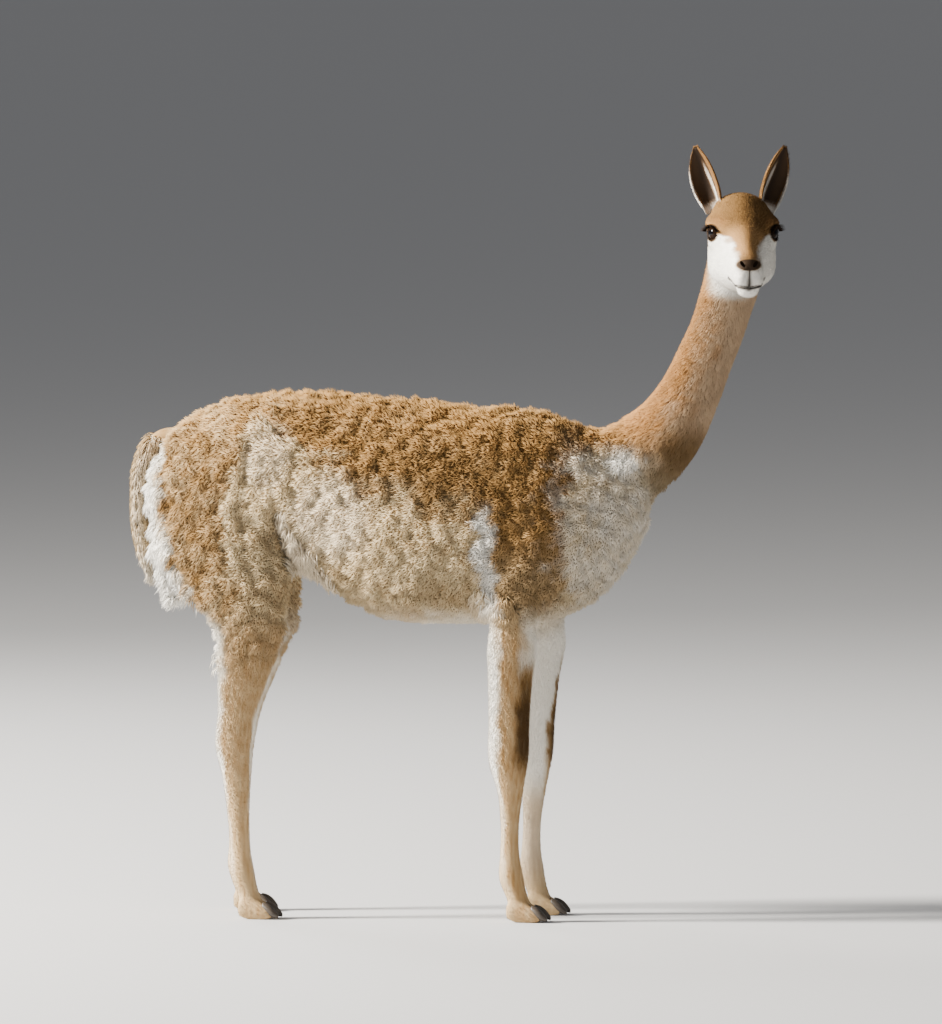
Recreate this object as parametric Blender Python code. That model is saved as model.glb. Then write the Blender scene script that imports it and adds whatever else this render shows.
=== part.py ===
"""A life-size standing vicuna with its head turned to its right, as a still museum model.

The animal faces +X, its left side is +Y and up is +Z, in metres. The outline sizes are those of the coat's
outer surface. The body is lofted whole, fused into one skin, covered with fleece and parted with thin cuts.
"""

import math
import random

import bmesh
import bpy
import numpy as np
from mathutils import Matrix, Vector
from mathutils.kdtree import KDTree

# Driving sizes of the whole animal
WITHERS_HEIGHT = 0.86
GAP = 0.0003

# Resolution of the forms before they are thinned
BODY_VOXEL = 0.006
HEAD_VOXEL = 0.003
TRUNK_SHARE_KEPT = 0.0085
LIMB_SHARE_KEPT = 0.034
HEAD_SHARE_KEPT = 0.028

# Torso stations: x, height of the back, height of the belly, half width, share of the height at the widest
TORSO = (
    (-0.532, 0.730, 0.668, 0.040, 0.50),
    (-0.518, 0.775, 0.640, 0.076, 0.50),
    (-0.490, 0.822, 0.610, 0.108, 0.50),
    (-0.440, 0.852, 0.590, 0.132, 0.52),
    (-0.376, 0.873, 0.580, 0.146, 0.54),
    (-0.310, 0.883, 0.572, 0.150, 0.52),
    (-0.240, 0.883, 0.546, 0.150, 0.46),
    (-0.174, 0.878, 0.508, 0.154, 0.44),
    (-0.106, 0.870, 0.489, 0.158, 0.44),
    (-0.039, 0.865, 0.485, 0.158, 0.44),
    (0.029, 0.861, 0.485, 0.152, 0.45),
    (0.096, 0.860, 0.486, 0.140, 0.46),
    (0.145, 0.853, 0.490, 0.130, 0.47),
    (0.190, 0.835, 0.504, 0.117, 0.47),
    (0.235, 0.818, 0.532, 0.102, 0.46),
    (0.280, 0.785, 0.580, 0.084, 0.46),
    (0.308, 0.745, 0.625, 0.062, 0.50),
    (0.322, 0.705, 0.665, 0.030, 0.50),
)

# Tube stations: x, y, z, fore-and-aft half size, sideways half size
NECK = (
    (0.060, 0.000, 0.700, 0.060, 0.050),
    (0.135, 0.000, 0.708, 0.105, 0.078),
    (0.215, 0.000, 0.726, 0.102, 0.080),
    (0.290, 0.000, 0.763, 0.081, 0.071),
    (0.344, -0.001, 0.814, 0.066, 0.059),
    (0.384, -0.003, 0.880, 0.055, 0.051),
    (0.408, -0.006, 0.934, 0.051, 0.047),
    (0.427, -0.010, 0.977, 0.049, 0.046),
    (0.441, -0.016, 1.016, 0.049, 0.045),
    (0.455, -0.026, 1.058, 0.050, 0.046),
    (0.466, -0.038, 1.100, 0.050, 0.047),
    (0.474, -0.050, 1.140, 0.044, 0.043),
    (0.478, -0.058, 1.170, 0.032, 0.032),
    (0.480, -0.062, 1.190, 0.014, 0.014),
)
NECK_ROOT = (0.285, 0.0, 0.690)
NECK_ROOT_REACH = 0.120
TAIL = (
    (-0.470, 0.000, 0.800, 0.020, 0.028),
    (-0.512, 0.000, 0.792, 0.021, 0.032),
    (-0.536, 0.000, 0.755, 0.018, 0.036),
    (-0.545, 0.000, 0.700, 0.015, 0.037),
    (-0.544, 0.000, 0.640, 0.013, 0.034),
    (-0.536, 0.000, 0.590, 0.010, 0.026),
    (-0.528, 0.000, 0.560, 0.006, 0.014),
)
FORELEG = (
    (0.125, 0.078, 0.700, 0.080, 0.050),
    (0.112, 0.088, 0.620, 0.070, 0.050),
    (0.100, 0.088, 0.560, 0.056, 0.044),
    (0.098, 0.086, 0.512, 0.047, 0.037),
    (0.098, 0.085, 0.465, 0.045, 0.034),
    (0.094, 0.084, 0.400, 0.039, 0.031),
    (0.092, 0.083, 0.330, 0.036, 0.028),
    (0.091, 0.082, 0.268, 0.035, 0.027),
    (0.094, 0.081, 0.215, 0.023, 0.022),
    (0.093, 0.080, 0.166, 0.0175, 0.0165),
    (0.093, 0.080, 0.110, 0.0180, 0.0170),
    (0.095, 0.080, 0.075, 0.0220, 0.0220),
    (0.104, 0.080, 0.045, 0.0190, 0.0210),
    (0.112, 0.080, 0.022, 0.0190, 0.0220),
)
HINDLEG = (
    (-0.375, 0.070, 0.740, 0.122, 0.062),
    (-0.380, 0.080, 0.680, 0.124, 0.062),
    (-0.380, 0.087, 0.620, 0.116, 0.058),
    (-0.362, 0.092, 0.565, 0.102, 0.052),
    (-0.346, 0.094, 0.515, 0.084, 0.046),
    (-0.348, 0.094, 0.460, 0.064, 0.039),
    (-0.357, 0.092, 0.400, 0.045, 0.032),
    (-0.366, 0.090, 0.340, 0.034, 0.026),
    (-0.372, 0.089, 0.290, 0.032, 0.024),
    (-0.368, 0.088, 0.240, 0.025, 0.021),
    (-0.363, 0.087, 0.160, 0.0195, 0.0180),
    (-0.360, 0.086, 0.110, 0.0190, 0.0180),
    (-0.357, 0.086, 0.075, 0.0220, 0.0220),
    (-0.348, 0.086, 0.045, 0.0190, 0.0210),
    (-0.340, 0.086, 0.022, 0.0190, 0.0220),
)
# How far forward each leg stands from the stations above, at its top and at its foot
LEG_REACH = {
    "foreleg_right": (0.0, 0.0),
    "foreleg_left": (0.026, 0.006),
    "hindleg_right": (0.0, 0.0),
    "hindleg_left": (-0.006, -0.040),
}

# Where the nodes part: the side view of each leg's block, and square planes across the neck
FORELEG_CUT = ((0.00, -0.10), (0.22, -0.10), (0.22, 0.476), (0.00, 0.476))
FORELEG_CUT_INSIDE = 0.020
HINDLEG_CUT = ((-0.70, -0.10), (-0.18, -0.10), (-0.18, 0.455), (-0.245, 0.545), (-0.70, 0.622))
HINDLEG_CUT_INSIDE = 0.003
CUT_OUTSIDE = 0.3
NECK_BASE_HEIGHT = 0.775
NECK_MIDDLE_HEIGHT = 0.920
HEAD_BASE_HEIGHT = 1.030
HOCK_HEIGHT = 0.285
BLOCK_SIZE = 1.6

# Each foot: two toes side by side, each a flesh pad with a nail on its front
TOE_HALF_WIDTH = 0.0130
TOE_SPREAD = 0.0140
TOE_SPLAY = 0.10
# Along a toe and along its nail: x, lowest, highest, share of the half width
TOE = (
    (-0.024, 0.006, 0.030, 0.60),
    (-0.016, 0.000, 0.036, 0.90),
    (0.000, -0.004, 0.037, 1.00),
    (0.018, -0.004, 0.030, 1.00),
    (0.030, -0.002, 0.023, 0.90),
    (0.038, 0.002, 0.016, 0.62),
)
NAIL = (
    (0.020, 0.012, 0.0285, 0.56),
    (0.030, 0.006, 0.0255, 0.74),
    (0.039, 0.003, 0.0185, 0.66),
    (0.0465, 0.002, 0.0085, 0.30),
)

# The head's own frame: the point between the eyes, with the muzzle along its +X
EYES_MIDDLE = Vector((0.486, -0.100, 1.146))
HEAD_TURN = math.radians(-76.0)
HEAD_TILT = math.radians(0.0)
# Head stations: x, top, bottom, then half width and height at the brow, the cheek and the jaw, in mm
HEAD = (
    (-108, 16, 8, 4, 14, 5, 12, 4, 10),
    (-106, 30, -8, 12, 20, 15, 10, 11, 0),
    (-98, 46, -28, 22, 30, 30, 8, 24, -12),
    (-80, 60, -60, 34, 44, 47, 4, 38, -36),
    (-52, 69, -92, 42, 52, 55, -6, 47, -62),
    (-26, 66, -100, 50, 38, 57, -24, 52, -74),
    (0, 53, -102, 57, 19, 57, -28, 50, -76),
    (20, 37, -101, 46, 14, 51, -33, 44, -76),
    (38, 22, -99, 33, 6, 42, -37, 37, -76),
    (56, 8, -97, 25, -6, 35, -42, 31, -77),
    (74, -5, -97, 21, -18, 30, -49, 27, -79),
    (90, -16, -100, 19, -29, 27, -54, 24, -82),
    (105, -27, -98, 18, -38, 25, -59, 22, -84),
    (116, -37, -90, 16, -46, 21, -63, 18, -80),
    (123, -48, -80, 9, -54, 12, -66, 10, -74),
)
BROW_AT = (-0.004, 0.0470, 0.0165)
BROW_SIZE = (0.028, 0.0190, 0.0115)
BROW_SLOPE = math.radians(20.0)
LIP_AT = (0.1080, 0.0105, -0.0710)
LIP_SIZE = (0.0170, 0.0135, 0.0150)
CHIN_AT = (0.0960, 0.0, -0.0920)
CHIN_SIZE = (0.0170, 0.0190, 0.0130)
EYE_AT = (0.004, 0.0415, 0.0)
EYE_RADIUS = 0.0160
EYE_GAZE = (0.50, 0.86, 0.04)
SOCKET_RADIUS = 0.019
SOCKET_DEPTH = 0.0075
LID_SIZE = (0.0196, 0.0188, 0.0188)
LID_OPENING = (0.0128, 0.0092)
# Along the line of sight from the ball's middle: depth, and the opening's size there
LID_EDGES = ((0.004, 0.50), (0.0093, 1.0), (0.0130, 1.18), (0.024, 1.26))
NOSTRIL_AT = (0.1185, 0.0105, -0.0475)
NOSTRIL_SIZE = (0.0075, 0.0026, 0.0068)
NOSTRIL_SLOPE = math.radians(38.0)
# The mouth from its corner to the middle of the front: x, half width and height in mm
MOUTH = ((66, 32.0, -72), (80, 28.0, -76), (94, 25.0, -81), (106, 21.5, -85), (114, 13.0, -86), (117, 0.0, -88))
# The cleft of the upper lip, from under the nose to the mouth: x, half width and height in mm
LIP_CLEFT = ((126, 0, -56), (127, 0, -70), (122, 0, -87))

EAR_ROOT = (-0.044, 0.046, 0.040)
EAR_TIP = (-0.050, 0.0745, 0.1435)
EAR_HALF_WIDTH = 0.0235
EAR_WALL = 0.0028
EAR_BOW = 0.006
EAR_FACES = math.radians(32.0)
# Along the ear: share of its length, share of its half width, depth of the cup as a share of that half width
EAR_LEVELS = (
    (-0.08, 0.66, 0.80),
    (0.06, 0.80, 0.82),
    (0.22, 0.95, 0.74),
    (0.40, 1.00, 0.62),
    (0.57, 0.93, 0.52),
    (0.73, 0.74, 0.44),
    (0.87, 0.44, 0.36),
    (0.965, 0.18, 0.30),
)

# Fleece: rounded clumps that stand on a core, which lies this far inside the outline
FLEECE_RISE = 0.017
FLEECE_ROOT = 0.009
CLUMP_COUNT = 124
CLUMP_SIDES = 5
CLUMP_SPREAD = 0.485
CLUMP_STRETCH = 1.20
LIMB_CLUMP_SHARE = 0.78
LIMB_CLUMPS_BELOW = 0.69
LIMB_CLUMPS_SMALLER_BELOW = 0.56
TRUNK_CLUMPS_ABOVE = 0.41
# Rings of a clump above its sunk root: share of its rise, share of its half width, share of its tip's lean
CLUMP_RINGS = ((0.25, 1.00, 0.00), (0.86, 0.66, 0.30))
# How far a clump's tip leans along the lie, in half widths: on the trunk, and where the coat hangs in a fringe
TIP_LEAN = 0.70
FRINGE_LEAN = 1.65
TIP_HEIGHT = 1.00
# Where the coat hangs in a fringe: the middle and the reach of each place, mirrored to both sides
FRINGES = (
    ((-0.235, 0.125, 0.545), 0.085),
    ((-0.455, 0.090, 0.560), 0.090),
    ((0.070, 0.120, 0.510), 0.060),
)
SEED = 11
# Locks down the back of the tail: how many rows, and the size and rise of each lock
TAIL_LOCK_ROWS = 3
TAIL_LOCK_SIZE = 0.0230
TAIL_LOCK_RISE = 0.0080
TAIL_LOCK_ROOT = 0.004

SIDES = (("left", 1), ("right", -1))


def clear_scene():
    for obj in list(bpy.data.objects):
        bpy.data.objects.remove(obj, do_unlink=True)


def material(name, colour, roughness):
    made = bpy.data.materials.new(name)
    made.use_nodes = True
    shader = made.node_tree.nodes["Principled BSDF"]
    shader.inputs["Base Color"].default_value = (*colour, 1.0)
    shader.inputs["Roughness"].default_value = roughness
    shader.inputs["Metallic"].default_value = 0.0
    return made


def smooth_through(knots, values, places):
    """Values read at places along a smooth curve that passes through every station."""
    knots = np.asarray(knots, float)
    values = np.asarray(values, float)
    steps = np.diff(knots)
    rises = np.diff(values, axis=0) / steps[:, None]
    slopes = np.empty_like(values)
    slopes[0] = rises[0]
    slopes[-1] = rises[-1]
    before, after = steps[:-1, None], steps[1:, None]
    slopes[1:-1] = (rises[:-1] * after + rises[1:] * before) / (before + after)
    span = np.clip(np.searchsorted(knots, places, side="right") - 1, 0, len(steps) - 1)
    t = ((places - knots[span]) / steps[span])[:, None]
    width = steps[span][:, None]
    return (
        (2 * t**3 - 3 * t**2 + 1) * values[span]
        + (t**3 - 2 * t**2 + t) * width * slopes[span]
        + (3 * t**2 - 2 * t**3) * values[span + 1]
        + (t**3 - t**2) * width * slopes[span + 1]
    )


def new_object(name, points, faces):
    mesh = bpy.data.meshes.new(name)
    mesh.from_pydata([tuple(p) for p in points], [], faces)
    mesh.validate()
    obj = bpy.data.objects.new(name, mesh)
    bpy.context.scene.collection.objects.link(obj)
    return obj


def face_outward(obj):
    work = bmesh.new()
    work.from_mesh(obj.data)
    bmesh.ops.recalc_face_normals(work, faces=work.faces)
    if work.calc_volume(signed=True) < 0:
        bmesh.ops.reverse_faces(work, faces=work.faces)
    work.to_mesh(obj.data)
    work.free()
    return obj


def loft(name, rings):
    """A closed body through rings of equally many points, with a fan closing each end."""
    count = len(rings[0])
    points = [p for ring in rings for p in ring]
    points += [np.mean(rings[0], axis=0), np.mean(rings[-1], axis=0)]
    first_cap, last_cap = len(points) - 2, len(points) - 1
    faces = []
    for row in range(len(rings) - 1):
        for i in range(count):
            j = (i + 1) % count
            low, high = row * count, (row + 1) * count
            faces.append((low + i, low + j, high + j, high + i))
    last = (len(rings) - 1) * count
    for i in range(count):
        j = (i + 1) % count
        faces.append((first_cap, j, i))
        faces.append((last_cap, last + i, last + j))
    return face_outward(new_object(name, points, faces))


def torso_form(ring_count=44, ring_points=36):
    table = np.array(TORSO)
    places = np.linspace(table[0, 0], table[-1, 0], ring_count)
    read = smooth_through(table[:, 0], table[:, 1:], places)
    turn = np.linspace(0, 2 * math.pi, ring_points, endpoint=False)
    rings = []
    for x, (top, bottom, half_width, share) in zip(places, read):
        middle = bottom + share * (top - bottom)
        across = half_width * np.sign(np.cos(turn)) * np.abs(np.cos(turn)) ** 0.92
        rise = np.where(np.sin(turn) > 0, top - middle, middle - bottom) * np.sin(turn)
        rings.append(np.stack([np.full(ring_points, x), across, middle + rise], axis=1))
    return loft("torso_form", rings)


def tube_rings(stations, ring_count, ring_points):
    """Elliptic rings square to a smooth path, with their sideways axis as near to Y as the path allows."""
    table = np.array(stations)
    knots = np.concatenate([[0], np.cumsum(np.linalg.norm(np.diff(table[:, :3], axis=0), axis=1))])
    places = np.linspace(0, knots[-1], ring_count)
    read = smooth_through(knots, table, places)
    path = read[:, :3]
    along = np.gradient(path, places, axis=0)
    along /= np.linalg.norm(along, axis=1)[:, None]
    turn = np.linspace(0, 2 * math.pi, ring_points, endpoint=False)
    rings = []
    for centre, way, (fore_aft, sideways) in zip(path, along, read[:, 3:]):
        side = np.array([0.0, 1.0, 0.0]) - way[1] * way
        side /= np.linalg.norm(side)
        front = np.cross(side, way)
        rings.append(centre + np.outer(np.cos(turn) * fore_aft, front) + np.outer(np.sin(turn) * sideways, side))
    return rings


def tube(name, stations, ring_count=40, ring_points=24):
    return loft(name, tube_rings(stations, ring_count, ring_points))


def leg_stations(table, side, reach):
    top, foot = table[0][2], table[-1][2]
    made = []
    for x, y, z, fore_aft, sideways in table:
        down = (top - z) / (top - foot)
        shift = reach[0] + (reach[1] - reach[0]) * down
        blend = min(1.0, down * 4.0)
        made.append((x + shift * blend, side * y, z, fore_aft, sideways))
    return made


def ball(name, centre, sizes, rotation=Matrix.Identity(3), segments=24, rings=14):
    mesh = bpy.data.meshes.new(name)
    work = bmesh.new()
    bmesh.ops.create_uvsphere(work, u_segments=segments, v_segments=rings, radius=1.0)
    place = Matrix.Translation(centre) @ rotation.to_4x4() @ Matrix.Diagonal((*sizes, 1.0))
    work.transform(place)
    work.to_mesh(mesh)
    work.free()
    obj = bpy.data.objects.new(name, mesh)
    bpy.context.scene.collection.objects.link(obj)
    return face_outward(obj)


def foot_place(name):
    """Where a leg's foot meets the floor: the point under its last station."""
    kind, side_name = name.split("_")
    side = dict(SIDES)[side_name]
    stations = leg_stations(FORELEG if kind == "foreleg" else HINDLEG, side, LEG_REACH[name])
    return Vector((stations[-1][0], stations[-1][1], 0.0))


def toe_rings(profile, foot, side, ring_points):
    turn = np.linspace(0, 2 * math.pi, ring_points, endpoint=False)
    rings = []
    for x, low, high, share in profile:
        middle, half = (low + high) / 2, (high - low) / 2
        y = foot.y + side * (TOE_SPREAD + TOE_SPLAY * max(x, 0.0))
        across = y + TOE_HALF_WIDTH * share * np.cos(turn)
        rings.append(np.stack([np.full(ring_points, foot.x + x), across, middle + half * np.sin(turn)], axis=1))
    return rings


def joined(name, objects):
    """One mesh that holds all of these objects' faces, still overlapping."""
    work = bmesh.new()
    for obj in objects:
        obj.data.transform(obj.matrix_world)
        work.from_mesh(obj.data)
        bpy.data.objects.remove(obj, do_unlink=True)
    mesh = bpy.data.meshes.new(name)
    work.to_mesh(mesh)
    work.free()
    made = bpy.data.objects.new(name, mesh)
    bpy.context.scene.collection.objects.link(made)
    return made


def applied(obj):
    """The object with its modifiers made part of its mesh."""
    bpy.context.view_layer.update()
    graph = bpy.context.evaluated_depsgraph_get()
    mesh = bpy.data.meshes.new_from_object(obj.evaluated_get(graph))
    obj.modifiers.clear()
    obj.data = mesh
    return obj


def fused(obj, voxel):
    """Overlapping bodies melted into one even surface."""
    remesh = obj.modifiers.new("Fuse", "REMESH")
    remesh.mode = "VOXEL"
    remesh.voxel_size = voxel
    return applied(obj)


def thinned(obj, share):
    decimate = obj.modifiers.new("Thin", "DECIMATE")
    decimate.ratio = share
    return applied(obj)


def mesh_points(obj):
    points = np.empty(len(obj.data.vertices) * 3, np.float32)
    obj.data.vertices.foreach_get("co", points)
    return points.reshape(-1, 3).astype(float)


def set_points(obj, points):
    obj.data.vertices.foreach_set("co", points.astype(np.float32).ravel())
    obj.data.update()


def mesh_normals(obj):
    normals = np.empty(len(obj.data.vertices) * 3, np.float32)
    obj.data.vertex_normals.foreach_get("vector", normals)
    return normals.reshape(-1, 3).astype(float)


def relaxed(obj, weight, rounds):
    """Each point drawn towards the middle of its neighbours, by a weight that its place gives."""
    edges = np.empty(len(obj.data.edges) * 2, np.int32)
    obj.data.edges.foreach_get("vertices", edges)
    edges = edges.reshape(-1, 2)
    points = mesh_points(obj)
    count = np.bincount(edges.ravel(), minlength=len(points))[:, None]
    pull = weight(points)[:, None] if callable(weight) else weight
    for _ in range(rounds):
        total = np.zeros_like(points)
        np.add.at(total, edges[:, 0], points[edges[:, 1]])
        np.add.at(total, edges[:, 1], points[edges[:, 0]])
        points += pull * (total / count - points)
    set_points(obj, points)
    return obj


def step(low, high, value):
    """0 below low, 1 above high and a smooth rise between them."""
    t = np.clip((value - low) / (high - low), 0, 1)
    return t * t * (3 - 2 * t)


def body_form():
    """The whole animal but its head, as one closed surface at the coat's outer outline."""
    pieces = [torso_form(), tube("neck_form", NECK)]
    for kind, table in (("foreleg", FORELEG), ("hindleg", HINDLEG)):
        for side_name, side in SIDES:
            name = f"{kind}_{side_name}"
            pieces.append(tube(name + "_form", leg_stations(table, side, LEG_REACH[name]), 60, 20))
            foot = foot_place(name)
            for toe_side in (-1, 1):
                pieces.append(loft(name + "_toe", toe_rings(TOE, foot, toe_side, 16)))
    body = fused(joined("body_form", pieces), BODY_VOXEL)

    def trunk_only(points):
        return 0.5 * step(0.44, 0.58, points[:, 2]) * (1 - 0.8 * step(0.90, 1.0, points[:, 2]))

    def neck_root(points):
        away = np.linalg.norm(points - np.array(NECK_ROOT), axis=1)
        return 0.5 * step(NECK_ROOT_REACH, 0.4 * NECK_ROOT_REACH, away)

    relaxed(body, 0.5, 2)
    relaxed(body, trunk_only, 14)
    relaxed(body, neck_root, 60)
    return body


def head_matrix():
    turn = Matrix.Rotation(HEAD_TURN, 4, "Z") @ Matrix.Rotation(HEAD_TILT, 4, "X")
    return Matrix.Translation(EYES_MIDDLE) @ turn


def head_rings(ring_count=46, ring_points=32):
    """Rings of the head: each a smooth closed curve through brow, cheek and jaw."""
    table = np.array(HEAD, float) / 1000.0
    places = np.linspace(table[0, 0], table[-1, 0], ring_count)
    read = smooth_through(table[:, 0], table[:, 1:], places)
    knots = np.arange(-2, 11)
    turn = np.linspace(0, 8, ring_points, endpoint=False)
    rings = []
    for x, (top, bottom, brow, brow_z, cheek, cheek_z, jaw, jaw_z) in zip(places, read):
        half = [(0, top), (brow, brow_z), (cheek, cheek_z), (jaw, jaw_z), (0, bottom)]
        other = [(-y, z) for y, z in half[1:-1]][::-1]
        closed = np.array(half + other)
        looped = closed[knots % 8]
        ring = smooth_through(knots, looped, turn)
        rings.append(np.column_stack([np.full(ring_points, x), ring]))
    return rings


def mirrored(place, side):
    return Vector((place[0], side * place[1], place[2]))


def pressed(obj, place, way, radius, depth):
    """A soft hollow pressed into the surface round a place."""
    points = mesh_points(obj)
    away = np.linalg.norm(points - np.array(place), axis=1)
    points += np.exp(-((away / radius) ** 2))[:, None] * np.array(way) * depth
    set_points(obj, points)
    return obj


def head_form():
    """The head with the top of the neck, fused finely, in the animal's frame."""
    skull = loft("skull_form", head_rings())
    pieces = [skull, ball("chin", CHIN_AT, CHIN_SIZE)]
    slope = Matrix.Rotation(BROW_SLOPE, 3, "Y")
    for _, side in SIDES:
        pieces.append(ball("brow", mirrored(BROW_AT, side), BROW_SIZE, slope))
        pieces.append(ball("lip", mirrored(LIP_AT, side), LIP_SIZE))
    for piece in pieces:
        piece.data.transform(head_matrix())
    head = fused(joined("head_form", pieces + [tube("neck_top", NECK[5:], 24, 24)]), HEAD_VOXEL)

    def brow(points):
        own = (points - np.array(EYES_MIDDLE)) @ np.array(head_matrix().to_3x3())
        return 0.2 + 0.3 * step(0.055, 0.030, own[:, 0])

    def nape(points):
        own = (points - np.array(EYES_MIDDLE)) @ np.array(head_matrix().to_3x3())
        return 0.5 * step(-0.030, -0.060, own[:, 0]) * step(0.030, 0.0, own[:, 2])

    relaxed(head, brow, 16)
    relaxed(head, nape, 90)
    lids = []
    for _, side in SIDES:
        gaze = head_matrix().to_3x3() @ mirrored(EYE_GAZE, side).normalized()
        middle = head_matrix() @ mirrored(EYE_AT, side)
        pressed(head, middle + gaze * EYE_RADIUS, -gaze, SOCKET_RADIUS, SOCKET_DEPTH)
        lids.append(ball("lid", middle, LID_SIZE, gaze.to_track_quat("Y", "Z").to_matrix()))
    head = fused(joined("head_form", [head] + lids), HEAD_VOXEL)
    relaxed(head, 0.5, 3)
    return head


def keep_largest(obj):
    """Drops every closed surface but the largest, by the volume that it holds."""
    work = bmesh.new()
    work.from_mesh(obj.data)
    unseen = set(work.verts)
    groups = []
    while unseen:
        front = [unseen.pop()]
        group = set(front)
        while front:
            for edge in front.pop().link_edges:
                for vert in edge.verts:
                    if vert in unseen:
                        unseen.discard(vert)
                        group.add(vert)
                        front.append(vert)
        groups.append(group)

    def volume(group):
        total = 0.0
        for face in {f for v in group for f in v.link_faces}:
            first = face.verts[0].co
            for one, two in zip(face.verts[1:-1], face.verts[2:]):
                total += first.dot(one.co.cross(two.co))
        return total

    best = max(groups, key=volume)
    bmesh.ops.delete(work, geom=[v for v in work.verts if v not in best], context="VERTS")
    bmesh.ops.triangulate(work, faces=work.faces)
    work.to_mesh(obj.data)
    work.free()
    return obj


def combined(obj, operation, others, solver="MANIFOLD"):
    """One Boolean of obj with a collection of closed meshes, which are then removed."""
    held = bpy.data.collections.new("held")
    bpy.context.scene.collection.children.link(held)
    for other in others:
        for home in list(other.users_collection):
            home.objects.unlink(other)
        held.objects.link(other)
    boolean = obj.modifiers.new("Join", "BOOLEAN")
    boolean.operation = operation
    boolean.solver = solver
    boolean.operand_type = "COLLECTION"
    boolean.collection = held
    applied(obj)
    for other in list(held.objects):
        bpy.data.objects.remove(other, do_unlink=True)
    bpy.data.collections.remove(held)
    return obj


def copied(obj, name):
    made = bpy.data.objects.new(name, obj.data.copy())
    bpy.context.scene.collection.objects.link(made)
    return made


def swollen(obj, name, by=1.3 * GAP):
    """A copy that is larger by a thin gap all round, to cut the seat of its original."""
    made = copied(obj, name)
    set_points(made, mesh_points(made) + by * mesh_normals(made))
    return made


def prism(name, profile, near, far):
    """A block with this outline seen from the side, between two distances from the middle plane."""
    points = [(x, near, z) for x, z in profile] + [(x, far, z) for x, z in profile]
    count = len(profile)
    faces = [tuple(range(count)), tuple(range(2 * count - 1, count - 1, -1))]
    for i in range(count):
        j = (i + 1) % count
        faces.append((i, i + count, j + count, j))
    return face_outward(new_object(name, points, faces))


def widened(profile):
    """The same outline, a thin gap larger on every side."""
    middle_x, middle_z = np.mean(profile, axis=0)
    return [(x + math.copysign(GAP, x - middle_x), z + math.copysign(GAP, z - middle_z)) for x, z in profile]


def neck_plane(height):
    """The neck's middle point at a height, and the way that the neck runs there."""
    table = np.array(NECK)
    read = smooth_through(table[:, 2], table[:, :3], np.array([height - 0.01, height, height + 0.01]))
    return Vector(read[1]), Vector(read[2] - read[0]).normalized()


def half_space(name, point, way):
    """A large block whose one face is the plane through point, with the block lying towards way."""
    mesh = bpy.data.meshes.new(name)
    work = bmesh.new()
    bmesh.ops.create_cube(work, size=BLOCK_SIZE)
    turn = way.to_track_quat("Z", "X").to_matrix().to_4x4()
    work.transform(Matrix.Translation(point + way * BLOCK_SIZE / 2) @ turn)
    work.to_mesh(mesh)
    work.free()
    obj = bpy.data.objects.new(name, mesh)
    bpy.context.scene.collection.objects.link(obj)
    return obj


def lie_of_coat(place, normal):
    """The way that the hair points at a place: back along the trunk, down the legs, the chest and the rump."""
    x, _, z = place
    back = Vector((-1.0, 0.0, -0.55))
    down = Vector((-0.15, 0.0, -1.0))
    falls = max(float(step(-0.34, -0.50, x)), float(step(0.16, 0.30, x)), float(step(0.60, 0.50, z)) * 0.4)
    way = back.lerp(down, falls)
    way -= way.dot(normal) * normal
    return way.normalized()


def tip_lean(place):
    """How far a tip leans: most where the coat hangs in a fringe."""
    most = 0.0
    for (x, y, z), reach in FRINGES:
        away = (Vector((x, y, z)) - Vector((place.x, abs(place.y), place.z))).length
        most = max(most, 1.0 - away / reach)
    return TIP_LEAN + (FRINGE_LEAN - TIP_LEAN) * min(1.0, 1.6 * most)


def clump(name, place, normal, lie, size, rise, root, draw):
    """A rounded tuft of fleece: widest just above the core, drawn out to a blunt tip along the lie."""
    across = normal.cross(lie)
    start = draw.uniform(0, math.pi / CLUMP_SIDES)
    reach = [draw.uniform(0.84, 1.12) for _ in range(CLUMP_SIDES)]
    tip = tip_lean(place) * draw.uniform(0.85, 1.15)
    levels = [(-root, 0.55, 0.0)] + [(rise * up, wide, lean * tip) for up, wide, lean in CLUMP_RINGS]
    rings = []
    for height, share, lean in levels:
        ring = []
        for i in range(CLUMP_SIDES):
            turn = start + 2 * math.pi * i / CLUMP_SIDES
            out = size * share * reach[i]
            flat = lie * (CLUMP_STRETCH * out * math.cos(turn) + lean * size) + across * (out * math.sin(turn))
            ring.append(place + flat + normal * height)
        rings.append(ring)
    points = [p for ring in rings for p in ring]
    points.append(place + (lie * tip + across * draw.uniform(-0.2, 0.2)) * size + normal * rise * TIP_HEIGHT)
    faces = [tuple(range(CLUMP_SIDES - 1, -1, -1))]
    for row in range(len(rings)):
        for i in range(CLUMP_SIDES):
            j = (i + 1) % CLUMP_SIDES
            low, high = row * CLUMP_SIDES, (row + 1) * CLUMP_SIDES
            if row < len(rings) - 1:
                faces.append((low + i, low + j, high + j, high + i))
            else:
                faces.append((low + i, low + j, high))
    return face_outward(new_object(name, points, faces))


def even_places(points, count, draw, rounds=10):
    """Indices of points spread evenly: each centre moves, round by round, to the middle of its own points."""
    centres = points[draw.sample(range(len(points)), count)]
    for _ in range(rounds):
        tree = KDTree(count)
        for i, centre in enumerate(centres):
            tree.insert(centre, i)
        tree.balance()
        nearest = np.array([tree.find(p)[1] for p in points])
        held = np.maximum(np.bincount(nearest, minlength=count), 1)
        centres = np.column_stack([np.bincount(nearest, points[:, k], count) / held for k in range(3)])
    return [int(np.argmin(np.sum((points - centre) ** 2, axis=1))) for centre in centres]


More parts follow.
